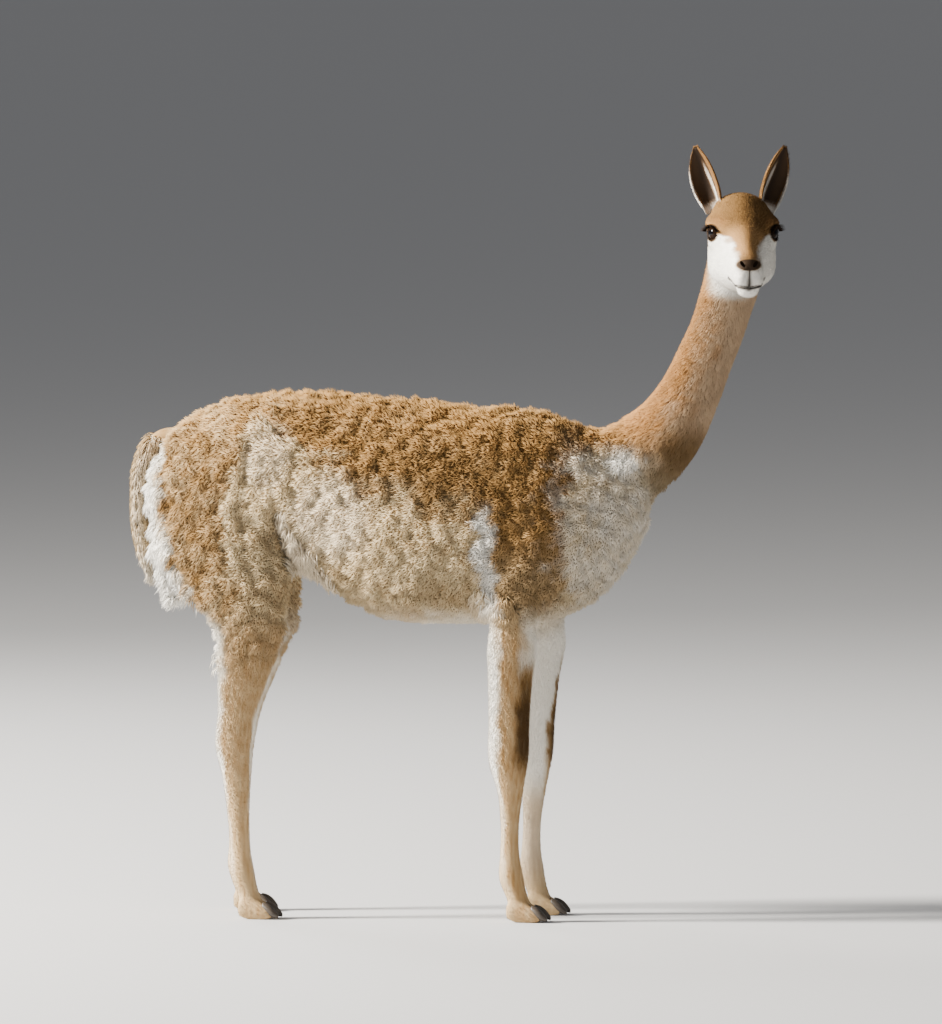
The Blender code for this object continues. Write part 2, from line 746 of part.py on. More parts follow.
def fleece_cover(points):
    """1 where the coat is deep fleece, falling to 0 on the neck and towards the lower legs."""
    base, way = neck_plane(NECK_BASE_HEIGHT)
    beyond = (points - np.array(base)) @ np.array(way)
    cover = step(0.000, -0.030, beyond)
    behind = step(-0.12, -0.22, points[:, 0])
    lowest = 0.505 * (1 - behind) + 0.465 * behind
    return cover * step(lowest - 0.02, lowest + 0.02, points[:, 2])


def fleece_places(core):
    """Where each clump stands on the core: its place, normal, size, rise and draw of its own."""
    draw = random.Random(SEED)
    cover = fleece_cover(mesh_points(core))
    inside = cover > 0.5
    points, normals, cover = mesh_points(core)[inside], mesh_normals(core)[inside], cover[inside]
    spacing = math.sqrt(2 * len(points) * BODY_VOXEL**2 / CLUMP_COUNT / math.sqrt(3))
    made = []
    for index in even_places(points, CLUMP_COUNT, draw):
        on_limb = LIMB_CLUMP_SHARE if points[index][2] < LIMB_CLUMPS_SMALLER_BELOW else 1.0
        size = CLUMP_SPREAD * spacing * draw.uniform(0.93, 1.07) * on_limb
        rise = FLEECE_RISE * draw.uniform(0.82, 1.12) * (0.6 + 0.4 * cover[index]) * on_limb
        made.append((Vector(points[index]), Vector(normals[index]), size, rise, draw.random()))
    return made


def fleece_clumps(places, lowest, highest):
    """The clumps that stand between two heights."""
    return [
        clump("clump", place, normal, lie_of_coat(place, normal), size, rise, FLEECE_ROOT, random.Random(own))
        for place, normal, size, rise, own in places
        if lowest < place.z < highest
    ]


def tail_locks():
    """Overlapping locks down the back of the tail, two or three to a row."""
    draw = random.Random(SEED)
    table = np.array(TAIL)
    heights = np.linspace(0.745, 0.585, TAIL_LOCK_ROWS)
    order = np.argsort(table[:, 2])
    made = []
    for row, height in enumerate(heights):
        x, half_deep, half_wide = (np.interp(height, table[order, 2], table[order, k]) for k in (0, 3, 4))
        turns = (-0.95, 0.0, 0.95) if row % 2 else (-0.5, 0.5)
        for turn in turns:
            normal = Vector((-math.cos(turn), math.sin(turn), 0.0))
            place = Vector((x - half_deep * math.cos(turn), half_wide * math.sin(turn), height))
            size = TAIL_LOCK_SIZE * draw.uniform(0.9, 1.1)
            made.append(clump("lock", place, normal, Vector((0, 0, -1)), size, TAIL_LOCK_RISE, TAIL_LOCK_ROOT, draw))
    return made


def ear(name, side):
    """A tall cupped ear: crescent rings from a rolled root to a pointed tip."""
    root, tip = Vector(EAR_ROOT), Vector(EAR_TIP)
    up = (tip - root).normalized()
    faces_way = Vector((math.cos(EAR_FACES), math.sin(EAR_FACES), 0.0))
    faces_way = (faces_way - faces_way.dot(up) * up).normalized()
    across = up.cross(faces_way)
    arc = np.linspace(-1, 1, 9)
    rings = []
    for share, width, cup in EAR_LEVELS:
        half = EAR_HALF_WIDTH * width
        bow = EAR_BOW * math.sin(math.pi * share)
        middle = root.lerp(tip, share) + across * bow - faces_way * bow
        spread = half * np.sin(arc * math.pi / 2)
        depth = half * cup * (1 - arc**2)
        wall = min(EAR_WALL, 0.55 * half)
        outer = [middle + across * float(a) - faces_way * float(d) for a, d in zip(spread, depth)]
        thinner = 1 - 0.35 * wall / half
        inner = [
            middle + across * float(a * thinner) - faces_way * float(d - wall * (1 - 0.4 * abs(t)))
            for a, d, t in zip(spread, depth, arc)
        ]
        rings.append(np.array(outer + inner[::-1]))
    made = loft(name, rings)
    if side < 0:
        made.data.transform(Matrix.Diagonal((1.0, -1.0, 1.0, 1.0)))
        face_outward(made)
    made.data.transform(head_matrix())
    return made


def eye(name, side):
    """The eyeball, with its poles on the line of sight."""
    gaze = mirrored(EYE_GAZE, side).normalized()
    turn = gaze.to_track_quat("Z", "Y").to_matrix()
    made = ball(name, mirrored(EYE_AT, side), (EYE_RADIUS,) * 3, turn, 14, 8)
    made.data.transform(head_matrix())
    return made


def lid_opening(side):
    """A cutter with the almond outline of the open lids, from the ball's middle outwards."""
    gaze = mirrored(EYE_GAZE, side).normalized()
    centre = mirrored(EYE_AT, side)
    level = Vector((0, 0, 1)).cross(gaze).normalized()
    rise = gaze.cross(level)
    half_wide, half_high = LID_OPENING
    outline = []
    for i in range(14):
        turn = 2 * math.pi * i / 14
        wide = half_wide * math.cos(turn)
        high = half_high * math.sin(turn) * (1 - 0.30 * abs(math.cos(turn)))
        outline.append((wide, high))
    rings = [
        np.array([centre + gaze * depth + level * (w * grow) + rise * (h * grow) for w, h in outline])
        for depth, grow in LID_EDGES
    ]
    made = loft("lid_opening", rings)
    made.data.transform(head_matrix())
    return made


def swept_blade(name, path, normals, half_width, depth):
    """A thin wedge along a path on the skin, to cut a fold: wide at the surface, narrow below it."""
    rings = []
    for here, out, way in zip(path, normals, np.gradient(np.array(path), axis=0)):
        here, out, way = Vector(here), Vector(out).normalized(), Vector(way).normalized()
        across = out.cross(way).normalized()
        rings.append(
            np.array(
                [
                    here + out * 0.006 + across * half_width * 1.6,
                    here + out * 0.006 - across * half_width * 1.6,
                    here - out * depth,
                ]
            )
        )
    made = loft(name, rings)
    made.data.transform(head_matrix())
    return made


def mouth_line():
    half = [np.array(p) / 1000.0 for p in MOUTH]
    right = [np.array((p[0], -p[1], p[2])) for p in half[:-1]]
    path = right + half[::-1]
    outs = [np.array((0.2 + 2.2 * max(0.0, (p[0] - 0.112) / 0.026), np.sign(p[1]) if abs(p[1]) > 1e-6 else 0.0, 0.0))
            for p in path]
    return swept_blade("mouth_line", path, outs, 0.0012, 0.007)


def nostril(side):
    """A slit nostril, higher on its outer side."""
    turn = Matrix.Rotation(-side * NOSTRIL_SLOPE, 3, "X")
    made = ball("nostril", mirrored(NOSTRIL_AT, side), NOSTRIL_SIZE, turn, 12, 8)
    made.data.transform(head_matrix())
    return made


def lip_cleft():
    path = [np.array(p) / 1000.0 for p in LIP_CLEFT]
    outs = [np.array((1.0, 0.0, 0.0))] * 3
    return swept_blade("lip_cleft", path, outs, 0.0012, 0.006)


def nails_of(name):
    """The two claws of a foot, each a curved wedge over the front of its toe."""
    foot = foot_place(name)
    outer = dict(SIDES)[name.split("_")[1]]
    return [
        loft(f"nail_{name}_{word}", toe_rings(NAIL, foot, toe_side, 6))
        for word, toe_side in (("inner", -outer), ("outer", outer))
    ]


def parted_at_hock(leg, side_name):
    """The leg as two nodes, above and below the hock, with a thin gap between them."""
    hock = Vector((0.0, 0.0, HOCK_HEIGHT))
    up = Vector((0.0, 0.0, 1.0))
    lower = copied(leg, f"hindleg_lower_{side_name}")
    combined(lower, "DIFFERENCE", [half_space("cut", hock, up)])
    leg.name = f"hindleg_upper_{side_name}"
    combined(leg, "INTERSECT", [half_space("cut", hock + up * GAP, up)])
    return [leg, lower]


def centred(objects):
    """Moves the whole animal so that its box stands on the origin by the middle of its base."""
    points = np.vstack([mesh_points(obj) for obj in objects])
    middle = (points.min(axis=0) + points.max(axis=0)) / 2
    for obj in objects:
        obj.data.transform(Matrix.Translation((-middle[0], -middle[1], 0.0)))
    print("moved by", -middle[:2], "lowest point", points[:, 2].min())


def main():
    clear_scene()
    coat_light = material("coat_light", (0.78, 0.72, 0.62), 0.95)
    coat_tan = material("coat_tan", (0.47, 0.27, 0.10), 0.95)
    coat_leg = material("coat_leg", (0.55, 0.36, 0.19), 0.95)
    eye_dark = material("eye_dark", (0.01, 0.008, 0.006), 0.08)
    nail_dark = material("nail_dark", (0.05, 0.04, 0.035), 0.45)

    body = body_form()
    cover = fleece_cover(mesh_points(body))
    set_points(body, mesh_points(body) - mesh_normals(body) * (FLEECE_RISE * cover)[:, None])
    places = fleece_places(body)
    limbs = thinned(copied(body, "limbs"), LIMB_SHARE_KEPT)
    combined(limbs, "UNION", fleece_clumps(places, 0.0, LIMB_CLUMPS_BELOW))
    thinned(body, TRUNK_SHARE_KEPT)
    combined(body, "UNION", fleece_clumps(places, TRUNK_CLUMPS_ABOVE, 1.0))
    floor = prism("floor", ((-1.0, -0.2), (1.0, -0.2), (1.0, 0.0), (-1.0, 0.0)), -1.0, 1.0)
    combined(limbs, "DIFFERENCE", [floor])

    nodes = []
    torso_cuts = []
    cuts = (("foreleg", FORELEG_CUT, FORELEG_CUT_INSIDE), ("hindleg", HINDLEG_CUT, HINDLEG_CUT_INSIDE))
    for kind, outline, inside in cuts:
        for side_name, side in SIDES:
            name = f"{kind}_{side_name}"
            near, far = inside * side, CUT_OUTSIDE * side
            leg = copied(limbs, name)
            combined(leg, "INTERSECT", [prism("cut", outline, near, far)])
            torso_cuts.append(prism("cut", widened(outline), near - GAP * side, far + GAP * side))
            nails = nails_of(name)
            combined(leg, "DIFFERENCE", [swollen(nail, "seat") for nail in nails])
            for nail in nails:
                nail.data.materials.append(nail_dark)
            parts = [leg] if kind == "foreleg" else parted_at_hock(leg, side_name)
            for part in parts:
                keep_largest(part)
                part.data.materials.clear()
                part.data.materials.append(coat_leg)
            nodes += parts + nails

    neck_base, neck_way = neck_plane(NECK_BASE_HEIGHT)
    neck_middle, middle_way = neck_plane(NECK_MIDDLE_HEIGHT)
    head_base, head_way = neck_plane(HEAD_BASE_HEIGHT)
    lower = copied(limbs, "neck_lower")
    combined(lower, "INTERSECT", [half_space("cut", neck_base + neck_way * GAP, neck_way)])
    combined(lower, "DIFFERENCE", [half_space("cut", neck_middle, middle_way)])
    upper = copied(limbs, "neck_upper")
    combined(upper, "INTERSECT", [half_space("cut", neck_middle + middle_way * GAP, middle_way)])
    combined(upper, "DIFFERENCE", [half_space("cut", head_base, head_way)])
    torso_cuts.append(half_space("cut", neck_base, neck_way))
    bpy.data.objects.remove(limbs, do_unlink=True)
    tail = tube("tail", TAIL, 16, 10)
    torso_cuts.append(swollen(tail, "seat"))
    combined(tail, "UNION", tail_locks())
    body.name = "torso"
    for cutter in torso_cuts:
        combined(body, "DIFFERENCE", [cutter])

    head = head_form()
    thinned(head, HEAD_SHARE_KEPT)
    head.name = "head"
    combined(head, "INTERSECT", [half_space("cut", head_base + head_way * GAP, head_way)])
    cutters = [mouth_line(), lip_cleft()]
    for side_name, side in SIDES:
        eyeball = eye(f"eye_{side_name}", side)
        ear_shell = ear(f"ear_{side_name}", side)
        cutters += [nostril(side), lid_opening(side), swollen(eyeball, "seat"), swollen(ear_shell, "seat")]
        eyeball.data.materials.append(eye_dark)
        ear_shell.data.materials.append(coat_tan)
        nodes += [eyeball, ear_shell]
    for cutter in cutters:
        combined(head, "DIFFERENCE", [cutter])
    for obj, finish in ((body, coat_tan), (lower, coat_tan), (upper, coat_tan), (head, coat_light), (tail, coat_tan)):
        keep_largest(obj)
        obj.data.materials.clear()
        obj.data.materials.append(finish)
        nodes.append(obj)
    centred(nodes)
    for obj in nodes:
        print(obj.name, sum(len(p.vertices) - 2 for p in obj.data.polygons))


main()
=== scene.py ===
# %% [markdown]
# A vicuna standing side-on with its head turned to the camera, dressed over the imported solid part.
# The solids already hold the outline, so this script adds what a solid can't: one smooth skin, a coat of
# many thousands of small tufts, wet eyes with lashes, and the animal's markings.
# Everything is modelled in the frame in which the animal was designed, and moved into the part's frame last.

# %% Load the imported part
import math

import bmesh
import bpy
import numpy as np
from mathutils import Matrix, Vector
from mathutils.kdtree import KDTree


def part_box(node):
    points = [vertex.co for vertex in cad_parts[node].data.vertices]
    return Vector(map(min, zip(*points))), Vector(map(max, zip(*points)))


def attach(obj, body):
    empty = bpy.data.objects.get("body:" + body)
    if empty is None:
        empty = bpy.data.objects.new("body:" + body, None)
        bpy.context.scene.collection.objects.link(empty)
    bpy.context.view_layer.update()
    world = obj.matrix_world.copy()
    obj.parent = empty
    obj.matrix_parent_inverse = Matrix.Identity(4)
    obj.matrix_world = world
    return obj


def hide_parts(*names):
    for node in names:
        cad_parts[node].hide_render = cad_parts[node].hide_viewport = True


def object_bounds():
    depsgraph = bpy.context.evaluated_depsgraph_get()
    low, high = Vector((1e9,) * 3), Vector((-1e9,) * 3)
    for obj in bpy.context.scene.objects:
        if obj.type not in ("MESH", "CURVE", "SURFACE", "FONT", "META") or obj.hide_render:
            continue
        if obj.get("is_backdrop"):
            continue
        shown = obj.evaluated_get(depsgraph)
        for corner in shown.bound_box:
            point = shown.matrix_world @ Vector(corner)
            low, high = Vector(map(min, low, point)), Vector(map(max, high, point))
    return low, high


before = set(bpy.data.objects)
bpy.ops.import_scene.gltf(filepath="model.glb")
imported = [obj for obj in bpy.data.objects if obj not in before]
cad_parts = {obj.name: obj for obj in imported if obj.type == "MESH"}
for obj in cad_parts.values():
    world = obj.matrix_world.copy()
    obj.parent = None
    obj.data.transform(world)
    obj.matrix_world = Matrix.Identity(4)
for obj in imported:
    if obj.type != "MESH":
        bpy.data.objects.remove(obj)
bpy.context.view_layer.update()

# %% [markdown]
# The animal's own sizes. The trunk is a row of cross-sections along its length, and the neck, legs and tail
# are tubes that follow a path. A few stations and a smooth curve through them are easier to judge than a
# list of points, and they keep the same names and values as the solid part, so the two agree. Rows are
# written in mm, which keeps them short.

# %% Stations of the body


def metres(*rows):
    """A table of lengths from rows in mm, or of shares from rows in thousandths."""
    return np.array(rows, float) / 1000.0


# Trunk: x, height of the back, height of the belly, half width, share of the height at the widest
TORSO = metres(
    (-532, 730, 668, 40, 500), (-518, 775, 640, 76, 500), (-490, 822, 610, 108, 500), (-440, 852, 590, 132, 520),
    (-376, 873, 580, 146, 540), (-310, 883, 572, 150, 520), (-240, 883, 546, 150, 460), (-174, 878, 508, 154, 440),
    (-106, 870, 489, 158, 440), (-39, 865, 485, 158, 440), (29, 861, 485, 152, 450), (96, 860, 486, 140, 460),
    (145, 853, 490, 130, 470), (190, 835, 504, 117, 470), (235, 818, 532, 102, 460), (280, 785, 580, 84, 460),
    (308, 745, 625, 62, 500), (322, 705, 665, 30, 500),
)
# Tubes: x, y, z, fore-and-aft half size, sideways half size
NECK = metres(
    (60, 0, 700, 60, 50), (135, 0, 708, 105, 78), (215, 0, 726, 102, 80), (290, 0, 763, 81, 71),
    (344, -1, 814, 66, 59), (384, -3, 880, 55, 51), (408, -6, 934, 51, 47), (427, -10, 977, 49, 46),
    (441, -16, 1016, 49, 45), (455, -26, 1058, 50, 46), (466, -38, 1100, 50, 47), (474, -50, 1140, 44, 43),
    (478, -58, 1170, 32, 32), (480, -62, 1190, 14, 14),
)
NECK_TOP = 5
NECK_ROOT = (0.285, 0.0, 0.690)
NECK_ROOT_REACH = 0.120
TAIL = metres(
    (-470, 0, 800, 20, 28), (-512, 0, 792, 21, 32), (-536, 0, 755, 18, 36), (-545, 0, 700, 15, 37),
    (-544, 0, 640, 13, 34), (-536, 0, 590, 10, 26), (-528, 0, 560, 6, 14),
)
FORELEG = metres(
    (125, 78, 700, 80, 50), (112, 88, 620, 70, 50), (100, 88, 560, 56, 44), (98, 86, 512, 47, 37),
    (98, 85, 465, 45, 34), (94, 84, 400, 39, 31), (92, 83, 330, 36, 28), (91, 82, 268, 35, 27),
    (94, 81, 215, 23, 22), (93, 80, 166, 17.5, 16.5), (93, 80, 110, 18, 17), (95, 80, 75, 22, 22),
    (104, 80, 45, 19, 21), (112, 80, 22, 19, 22),
)
HINDLEG = metres(
    (-375, 70, 740, 122, 62), (-380, 80, 680, 124, 62), (-380, 87, 620, 116, 58),
    (-362, 92, 565, 102, 52), (-346, 94, 515, 84, 46), (-348, 94, 460, 64, 39),
    (-357, 92, 400, 45, 32), (-366, 90, 340, 34, 26), (-372, 89, 290, 32, 24),
    (-368, 88, 240, 25, 21), (-363, 87, 160, 19.5, 18), (-360, 86, 110, 19, 18),
    (-357, 86, 75, 22, 22), (-348, 86, 45, 19, 21), (-340, 86, 22, 19, 22),
)
# Each leg: its stations, its side, and how far forward it stands at its top and at its foot
LEGS = {
    "foreleg_right": (FORELEG, -1, (0.0, 0.0)),
    "foreleg_left": (FORELEG, 1, (0.026, 0.006)),
    "hindleg_right": (HINDLEG, -1, (0.0, 0.0)),
    "hindleg_left": (HINDLEG, 1, (-0.006, -0.040)),
}
SIDES = (("left", 1), ("right", -1))
RUMP_WOOL_AT = (-0.482, 0.048, 0.655)
RUMP_WOOL_SIZE = (0.042, 0.044, 0.140)
TOE_HALF_WIDTH = 0.0130
TOE_SPREAD = 0.0140
TOE_SPLAY = 0.10
# Along a toe and along its nail: x, lowest, highest, share of the half width
TOE = metres(
    (-24, 6, 30, 600), (-16, 0, 36, 900), (0, -4, 37, 1000), (18, -4, 30, 1000),
    (30, -2, 23, 900), (38, 2, 16, 620),
)
NAIL = metres(
    (20, 12, 28.5, 560), (30, 6, 25.5, 740), (39, 3, 18.5, 660), (46.5, 2, 8.5, 300),
)
print("trunk stations:", len(TORSO), "leg stations:", len(FORELEG), "and", len(HINDLEG))

# %% [markdown]
# The head has a frame of its own: the point between the eyes, with the muzzle along +X. Each station gives
# the half width and height at the brow, the cheek and the jaw, so the ring can be wide at the cheek and
# narrow at the bridge of the nose. The head is then turned as a whole towards the camera.

# %% Stations and features of the head
EYES_MIDDLE = Vector((0.486, -0.100, 1.146))
HEAD_TURN = math.radians(-76.0)
HEAD_FRAME = Matrix.Translation(EYES_MIDDLE) @ Matrix.Rotation(HEAD_TURN, 4, "Z")
# x, top, bottom, then half width and height at the brow, the cheek and the jaw
HEAD = metres(
    (-108, 16, 8, 4, 14, 5, 12, 4, 10), (-106, 30, -8, 12, 20, 15, 10, 11, 0),
    (-98, 46, -28, 22, 30, 30, 8, 24, -12), (-80, 60, -60, 34, 44, 47, 4, 38, -36),
    (-52, 69, -92, 42, 52, 55, -6, 47, -62), (-26, 66, -100, 50, 38, 57, -24, 52, -74),
    (0, 53, -102, 57, 19, 57, -28, 50, -76), (20, 37, -101, 46, 14, 51, -33, 44, -76),
    (38, 22, -99, 33, 6, 42, -37, 37, -76), (56, 8, -97, 25, -6, 35, -42, 31, -77),
    (74, -5, -97, 21, -18, 30, -49, 27, -79), (90, -16, -100, 19, -29, 27, -54, 24, -82),
    (105, -27, -98, 18, -38, 25, -59, 22, -84), (116, -37, -90, 16, -46, 21, -63, 18, -80),
    (123, -48, -80, 9, -54, 12, -66, 10, -74),
)
BROW_AT = (-0.004, 0.0470, 0.0165)
BROW_SIZE = (0.028, 0.0190, 0.0115)
BROW_SLOPE = math.radians(20.0)
LIP_AT = (0.1080, 0.0105, -0.0710)
LIP_SIZE = (0.0170, 0.0135, 0.0150)
CHIN_AT = (0.0960, 0.0, -0.0920)
CHIN_SIZE = (0.0170, 0.0190, 0.0130)
EYE_AT = (0.004, 0.0415, 0.0)
EYE_RADIUS = 0.0160
EYE_GAZE = (0.50, 0.86, 0.04)
SOCKET_RADIUS = 0.019
SOCKET_DEPTH = 0.0075
LID_SIZE = (0.0196, 0.0188, 0.0188)
LID_OPENING = (0.0145, 0.0106)
LID_EDGES = ((0.004, 0.50), (0.0093, 1.0), (0.0130, 1.18), (0.024, 1.26))
NOSTRIL_AT = (0.1185, 0.0105, -0.0475)
NOSTRIL_SIZE = (0.0075, 0.0026, 0.0068)
NOSTRIL_SLOPE = math.radians(38.0)
# From the mouth's corner to the middle of its front, and down the cleft of the lip: x, half width, height
MOUTH = metres((66, 32, -72), (80, 28, -76), (94, 25, -81), (106, 21.5, -85), (114, 13, -86), (117, 0, -88))
LIP_CLEFT = metres((126, 0, -56), (127, 0, -70), (122, 0, -87))
EAR_ROOT = (-0.044, 0.046, 0.040)
EAR_TIP = (-0.050, 0.0745, 0.1435)
EAR_HALF_WIDTH = 0.0235
EAR_WALL = 0.0028
EAR_BOW = 0.006
EAR_FACES = math.radians(32.0)
# Along the ear: share of its length, share of its half width, depth of the cup as a share of that half width
EAR_LEVELS = metres(
    (-80, 660, 800), (60, 800, 820), (220, 950, 740), (400, 1000, 620),
    (570, 930, 520), (730, 740, 440), (870, 440, 360), (965, 180, 300),
)


def mirrored(place, side):
    """A place of the left side, on the left (1) or the right (-1)."""
    return Vector((place[0], side * place[1], place[2]))


eye_low, eye_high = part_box("eye_left")
SHIFT = (eye_low + eye_high) / 2 - HEAD_FRAME @ mirrored(EYE_AT, 1)
SHIFT.z = 0.0
print("from the design frame to the part's frame, mm:", [round(1000 * v, 2) for v in SHIFT])

# %% [markdown]
# Mesh helpers. A loft joins rings of equally many points. Overlapping lofts are melted into one skin by a
# voxel remesh, which is how a sculptor would fuse clay parts, and then relaxed where the joins should flow.

# %% Mesh helpers


def smooth_through(knots, values, places):
    """Values read at places along a smooth curve that passes through every station."""
    knots = np.asarray(knots, float)
    values = np.asarray(values, float)
    steps = np.diff(knots)
    rises = np.diff(values, axis=0) / steps[:, None]
    slopes = np.empty_like(values)
    slopes[0] = rises[0]
    slopes[-1] = rises[-1]
    before, after = steps[:-1, None], steps[1:, None]
    slopes[1:-1] = (rises[:-1] * after + rises[1:] * before) / (before + after)
    span = np.clip(np.searchsorted(knots, places, side="right") - 1, 0, len(steps) - 1)
    t = ((places - knots[span]) / steps[span])[:, None]
    width = steps[span][:, None]
    return (
        (2 * t**3 - 3 * t**2 + 1) * values[span]
        + (t**3 - 2 * t**2 + t) * width * slopes[span]
        + (3 * t**2 - 2 * t**3) * values[span + 1]
        + (t**3 - t**2) * width * slopes[span + 1]
    )


def step(low, high, value):
    """0 at low, 1 at high and a smooth rise between them."""
    t = np.clip((value - low) / (high - low), 0, 1)
    return t * t * (3 - 2 * t)


def linked(name, data):
    """A new object in the scene that holds a mesh, a light or a camera."""
    obj = bpy.data.objects.new(name, data)
    bpy.context.scene.collection.objects.link(obj)
    return obj


def new_object(name, points, faces):
    mesh = bpy.data.meshes.new(name)
    mesh.from_pydata([tuple(p) for p in points], [], faces)
    return linked(name, mesh)


def face_outward(obj):
    work = bmesh.new()
    work.from_mesh(obj.data)
    bmesh.ops.recalc_face_normals(work, faces=work.faces)
    if work.calc_volume(signed=True) < 0:
        bmesh.ops.reverse_faces(work, faces=work.faces)
    work.to_mesh(obj.data)
    work.free()
    return obj


def loft(name, rings):
    """A closed body through rings of equally many points, with a fan closing each end."""
    count = len(rings[0])
    points = [p for ring in rings for p in ring]
    points += [np.mean(rings[0], axis=0), np.mean(rings[-1], axis=0)]
    last = (len(rings) - 1) * count
    pairs = [(i, (i + 1) % count) for i in range(count)]
    faces = [(row + i, row + j, row + count + j, row + count + i) for row in range(0, last, count) for i, j in pairs]
    for i, j in pairs:
        faces += [(len(points) - 2, j, i), (len(points) - 1, last + i, last + j)]
    return face_outward(new_object(name, points, faces))


def ball(name, centre, sizes, rotation=Matrix.Identity(3), segments=24, rings=14):
    mesh = bpy.data.meshes.new(name)
    work = bmesh.new()
    bmesh.ops.create_uvsphere(work, u_segments=segments, v_segments=rings, radius=1.0)
    work.transform(Matrix.Translation(centre) @ rotation.to_4x4() @ Matrix.Diagonal((*sizes, 1.0)))
    work.to_mesh(mesh)
    work.free()
    return face_outward(linked(name, mesh))


def joined(name, objects):
    """One mesh that holds all of these objects' faces."""
    work = bmesh.new()
    for obj in objects:
        work.from_mesh(obj.data)
        bpy.data.objects.remove(obj, do_unlink=True)
    mesh = bpy.data.meshes.new(name)
    work.to_mesh(mesh)
    work.free()
    return linked(name, mesh)


def applied(obj):
    """The object with its modifiers made part of its mesh."""
    bpy.context.view_layer.update()
    graph = bpy.context.evaluated_depsgraph_get()
    mesh = bpy.data.meshes.new_from_object(obj.evaluated_get(graph))
    obj.modifiers.clear()
    obj.data = mesh
    return obj


def fused(obj, voxel):
    """Overlapping bodies melted into one even surface."""
    remesh = obj.modifiers.new("Fuse", "REMESH")
    remesh.mode = "VOXEL"
    remesh.voxel_size = voxel
    return applied(obj)


def carved(obj, cutter):
    """obj with a closed cutter taken out of it."""
    boolean = obj.modifiers.new("Carve", "BOOLEAN")
    boolean.operation = "DIFFERENCE"
    boolean.solver = "MANIFOLD"
    boolean.object = cutter
    applied(obj)
    bpy.data.objects.remove(cutter, do_unlink=True)
    return obj


def fetched(rows, key, width, kind=np.float32):
    """One property of all rows of a mesh, such as its vertices, as an array."""
    values = np.empty(len(rows) * width, kind)
    rows.foreach_get(key, values)
    return values.reshape(-1, width)


def mesh_points(obj):
    return fetched(obj.data.vertices, "co", 3).astype(float)


def set_points(obj, points):
    obj.data.vertices.foreach_set("co", points.astype(np.float32).ravel())
    obj.data.update()


def mesh_normals(obj):
    return fetched(obj.data.vertex_normals, "vector", 3).astype(float)


def relaxed(obj, weight, rounds):
    """Each point drawn towards the middle of its neighbours, by one weight or by one that its place gives."""
    edges = fetched(obj.data.edges, "vertices", 2, np.int32)
    points = mesh_points(obj)
    count = np.bincount(edges.ravel(), minlength=len(points))[:, None]
    pull = weight(points)[:, None] if callable(weight) else weight
    for _ in range(rounds):
        total = np.column_stack([
            np.bincount(edges[:, 0], points[edges[:, 1], k], len(points))
            + np.bincount(edges[:, 1], points[edges[:, 0], k], len(points))
            for k in range(3)
        ])
        points += pull * (total / count - points)
    set_points(obj, points)
    return obj


def unit(vectors):
    return vectors / np.maximum(np.linalg.norm(vectors, axis=-1, keepdims=True), 1e-9)


def distance(points, place):
    return np.linalg.norm(points - np.array(place), axis=1)


def bell(away, width):
    """1 at no distance, and near 0 at twice the width."""
    return np.exp(-((away / width) ** 2))


def full_turn(count):
    return np.linspace(0, 2 * math.pi, count, endpoint=False)


def count_triangles(obj):
    return sum(len(p.vertices) - 2 for p in obj.data.polygons)


# %% [markdown]
# The trunk, neck and legs. The lofts follow the coat's outer outline, as the solids do. Fused at 4 mm they
# keep the feet's toes, and the neck's root is relaxed most, because a long neck flows out of the chest.

# %% Lofts of the body


def torso_form(ring_count=60, ring_points=48):
    places = np.linspace(TORSO[0, 0], TORSO[-1, 0], ring_count)
    read = smooth_through(TORSO[:, 0], TORSO[:, 1:], places)
    turn = full_turn(ring_points)
    rings = []
    for x, (top, bottom, half_width, share) in zip(places, read):
        middle = bottom + share * (top - bottom)
        across = half_width * np.sign(np.cos(turn)) * np.abs(np.cos(turn)) ** 0.92
        rise = np.where(np.sin(turn) > 0, top - middle, middle - bottom) * np.sin(turn)
        rings.append(np.stack([np.full(ring_points, x), across, middle + rise], axis=1))
    return loft("torso_form", rings)


def tube(name, stations, ring_count=48, ring_points=28):
    """A tube of elliptic rings square to a smooth path, with their sideways axis near Y."""
    table = np.array(stations)
    knots = np.concatenate([[0], np.cumsum(np.linalg.norm(np.diff(table[:, :3], axis=0), axis=1))])
    places = np.linspace(0, knots[-1], ring_count)
    read = smooth_through(knots, table, places)
    along = unit(np.gradient(read[:, :3], places, axis=0))
    turn = full_turn(ring_points)
    rings = []
    for centre, way, (fore_aft, sideways) in zip(read[:, :3], along, read[:, 3:]):
        side = unit(np.array([0.0, 1.0, 0.0]) - way[1] * way)
        ahead = np.outer(np.cos(turn) * fore_aft, np.cross(side, way))
        rings.append(centre + ahead + np.outer(np.sin(turn) * sideways, side))
    return loft(name, rings)


def leg_stations(name):
    table, side, (at_top, at_foot) = LEGS[name]
    top, foot = table[0, 2], table[-1, 2]
    made = []
    for x, y, z, fore_aft, sideways in table:
        down = (top - z) / (top - foot)
        shift = at_top + (at_foot - at_top) * down
        made.append((x + shift * min(1.0, down * 4.0), side * y, z, fore_aft, sideways))
    return made


def foot_place(name):
    x, y, *_ = leg_stations(name)[-1]
    return Vector((x, y, 0.0))


def toe_rings(profile, foot, side, ring_points):
    turn = full_turn(ring_points)
    rings = []
    for x, low, high, share in profile:
        y = foot.y + side * (TOE_SPREAD + TOE_SPLAY * max(x, 0.0))
        across = y + TOE_HALF_WIDTH * share * np.cos(turn)
        height = (low + high) / 2 + (high - low) / 2 * np.sin(turn)
        rings.append(np.stack([np.full(ring_points, foot.x + x), across, height], axis=1))
    return rings


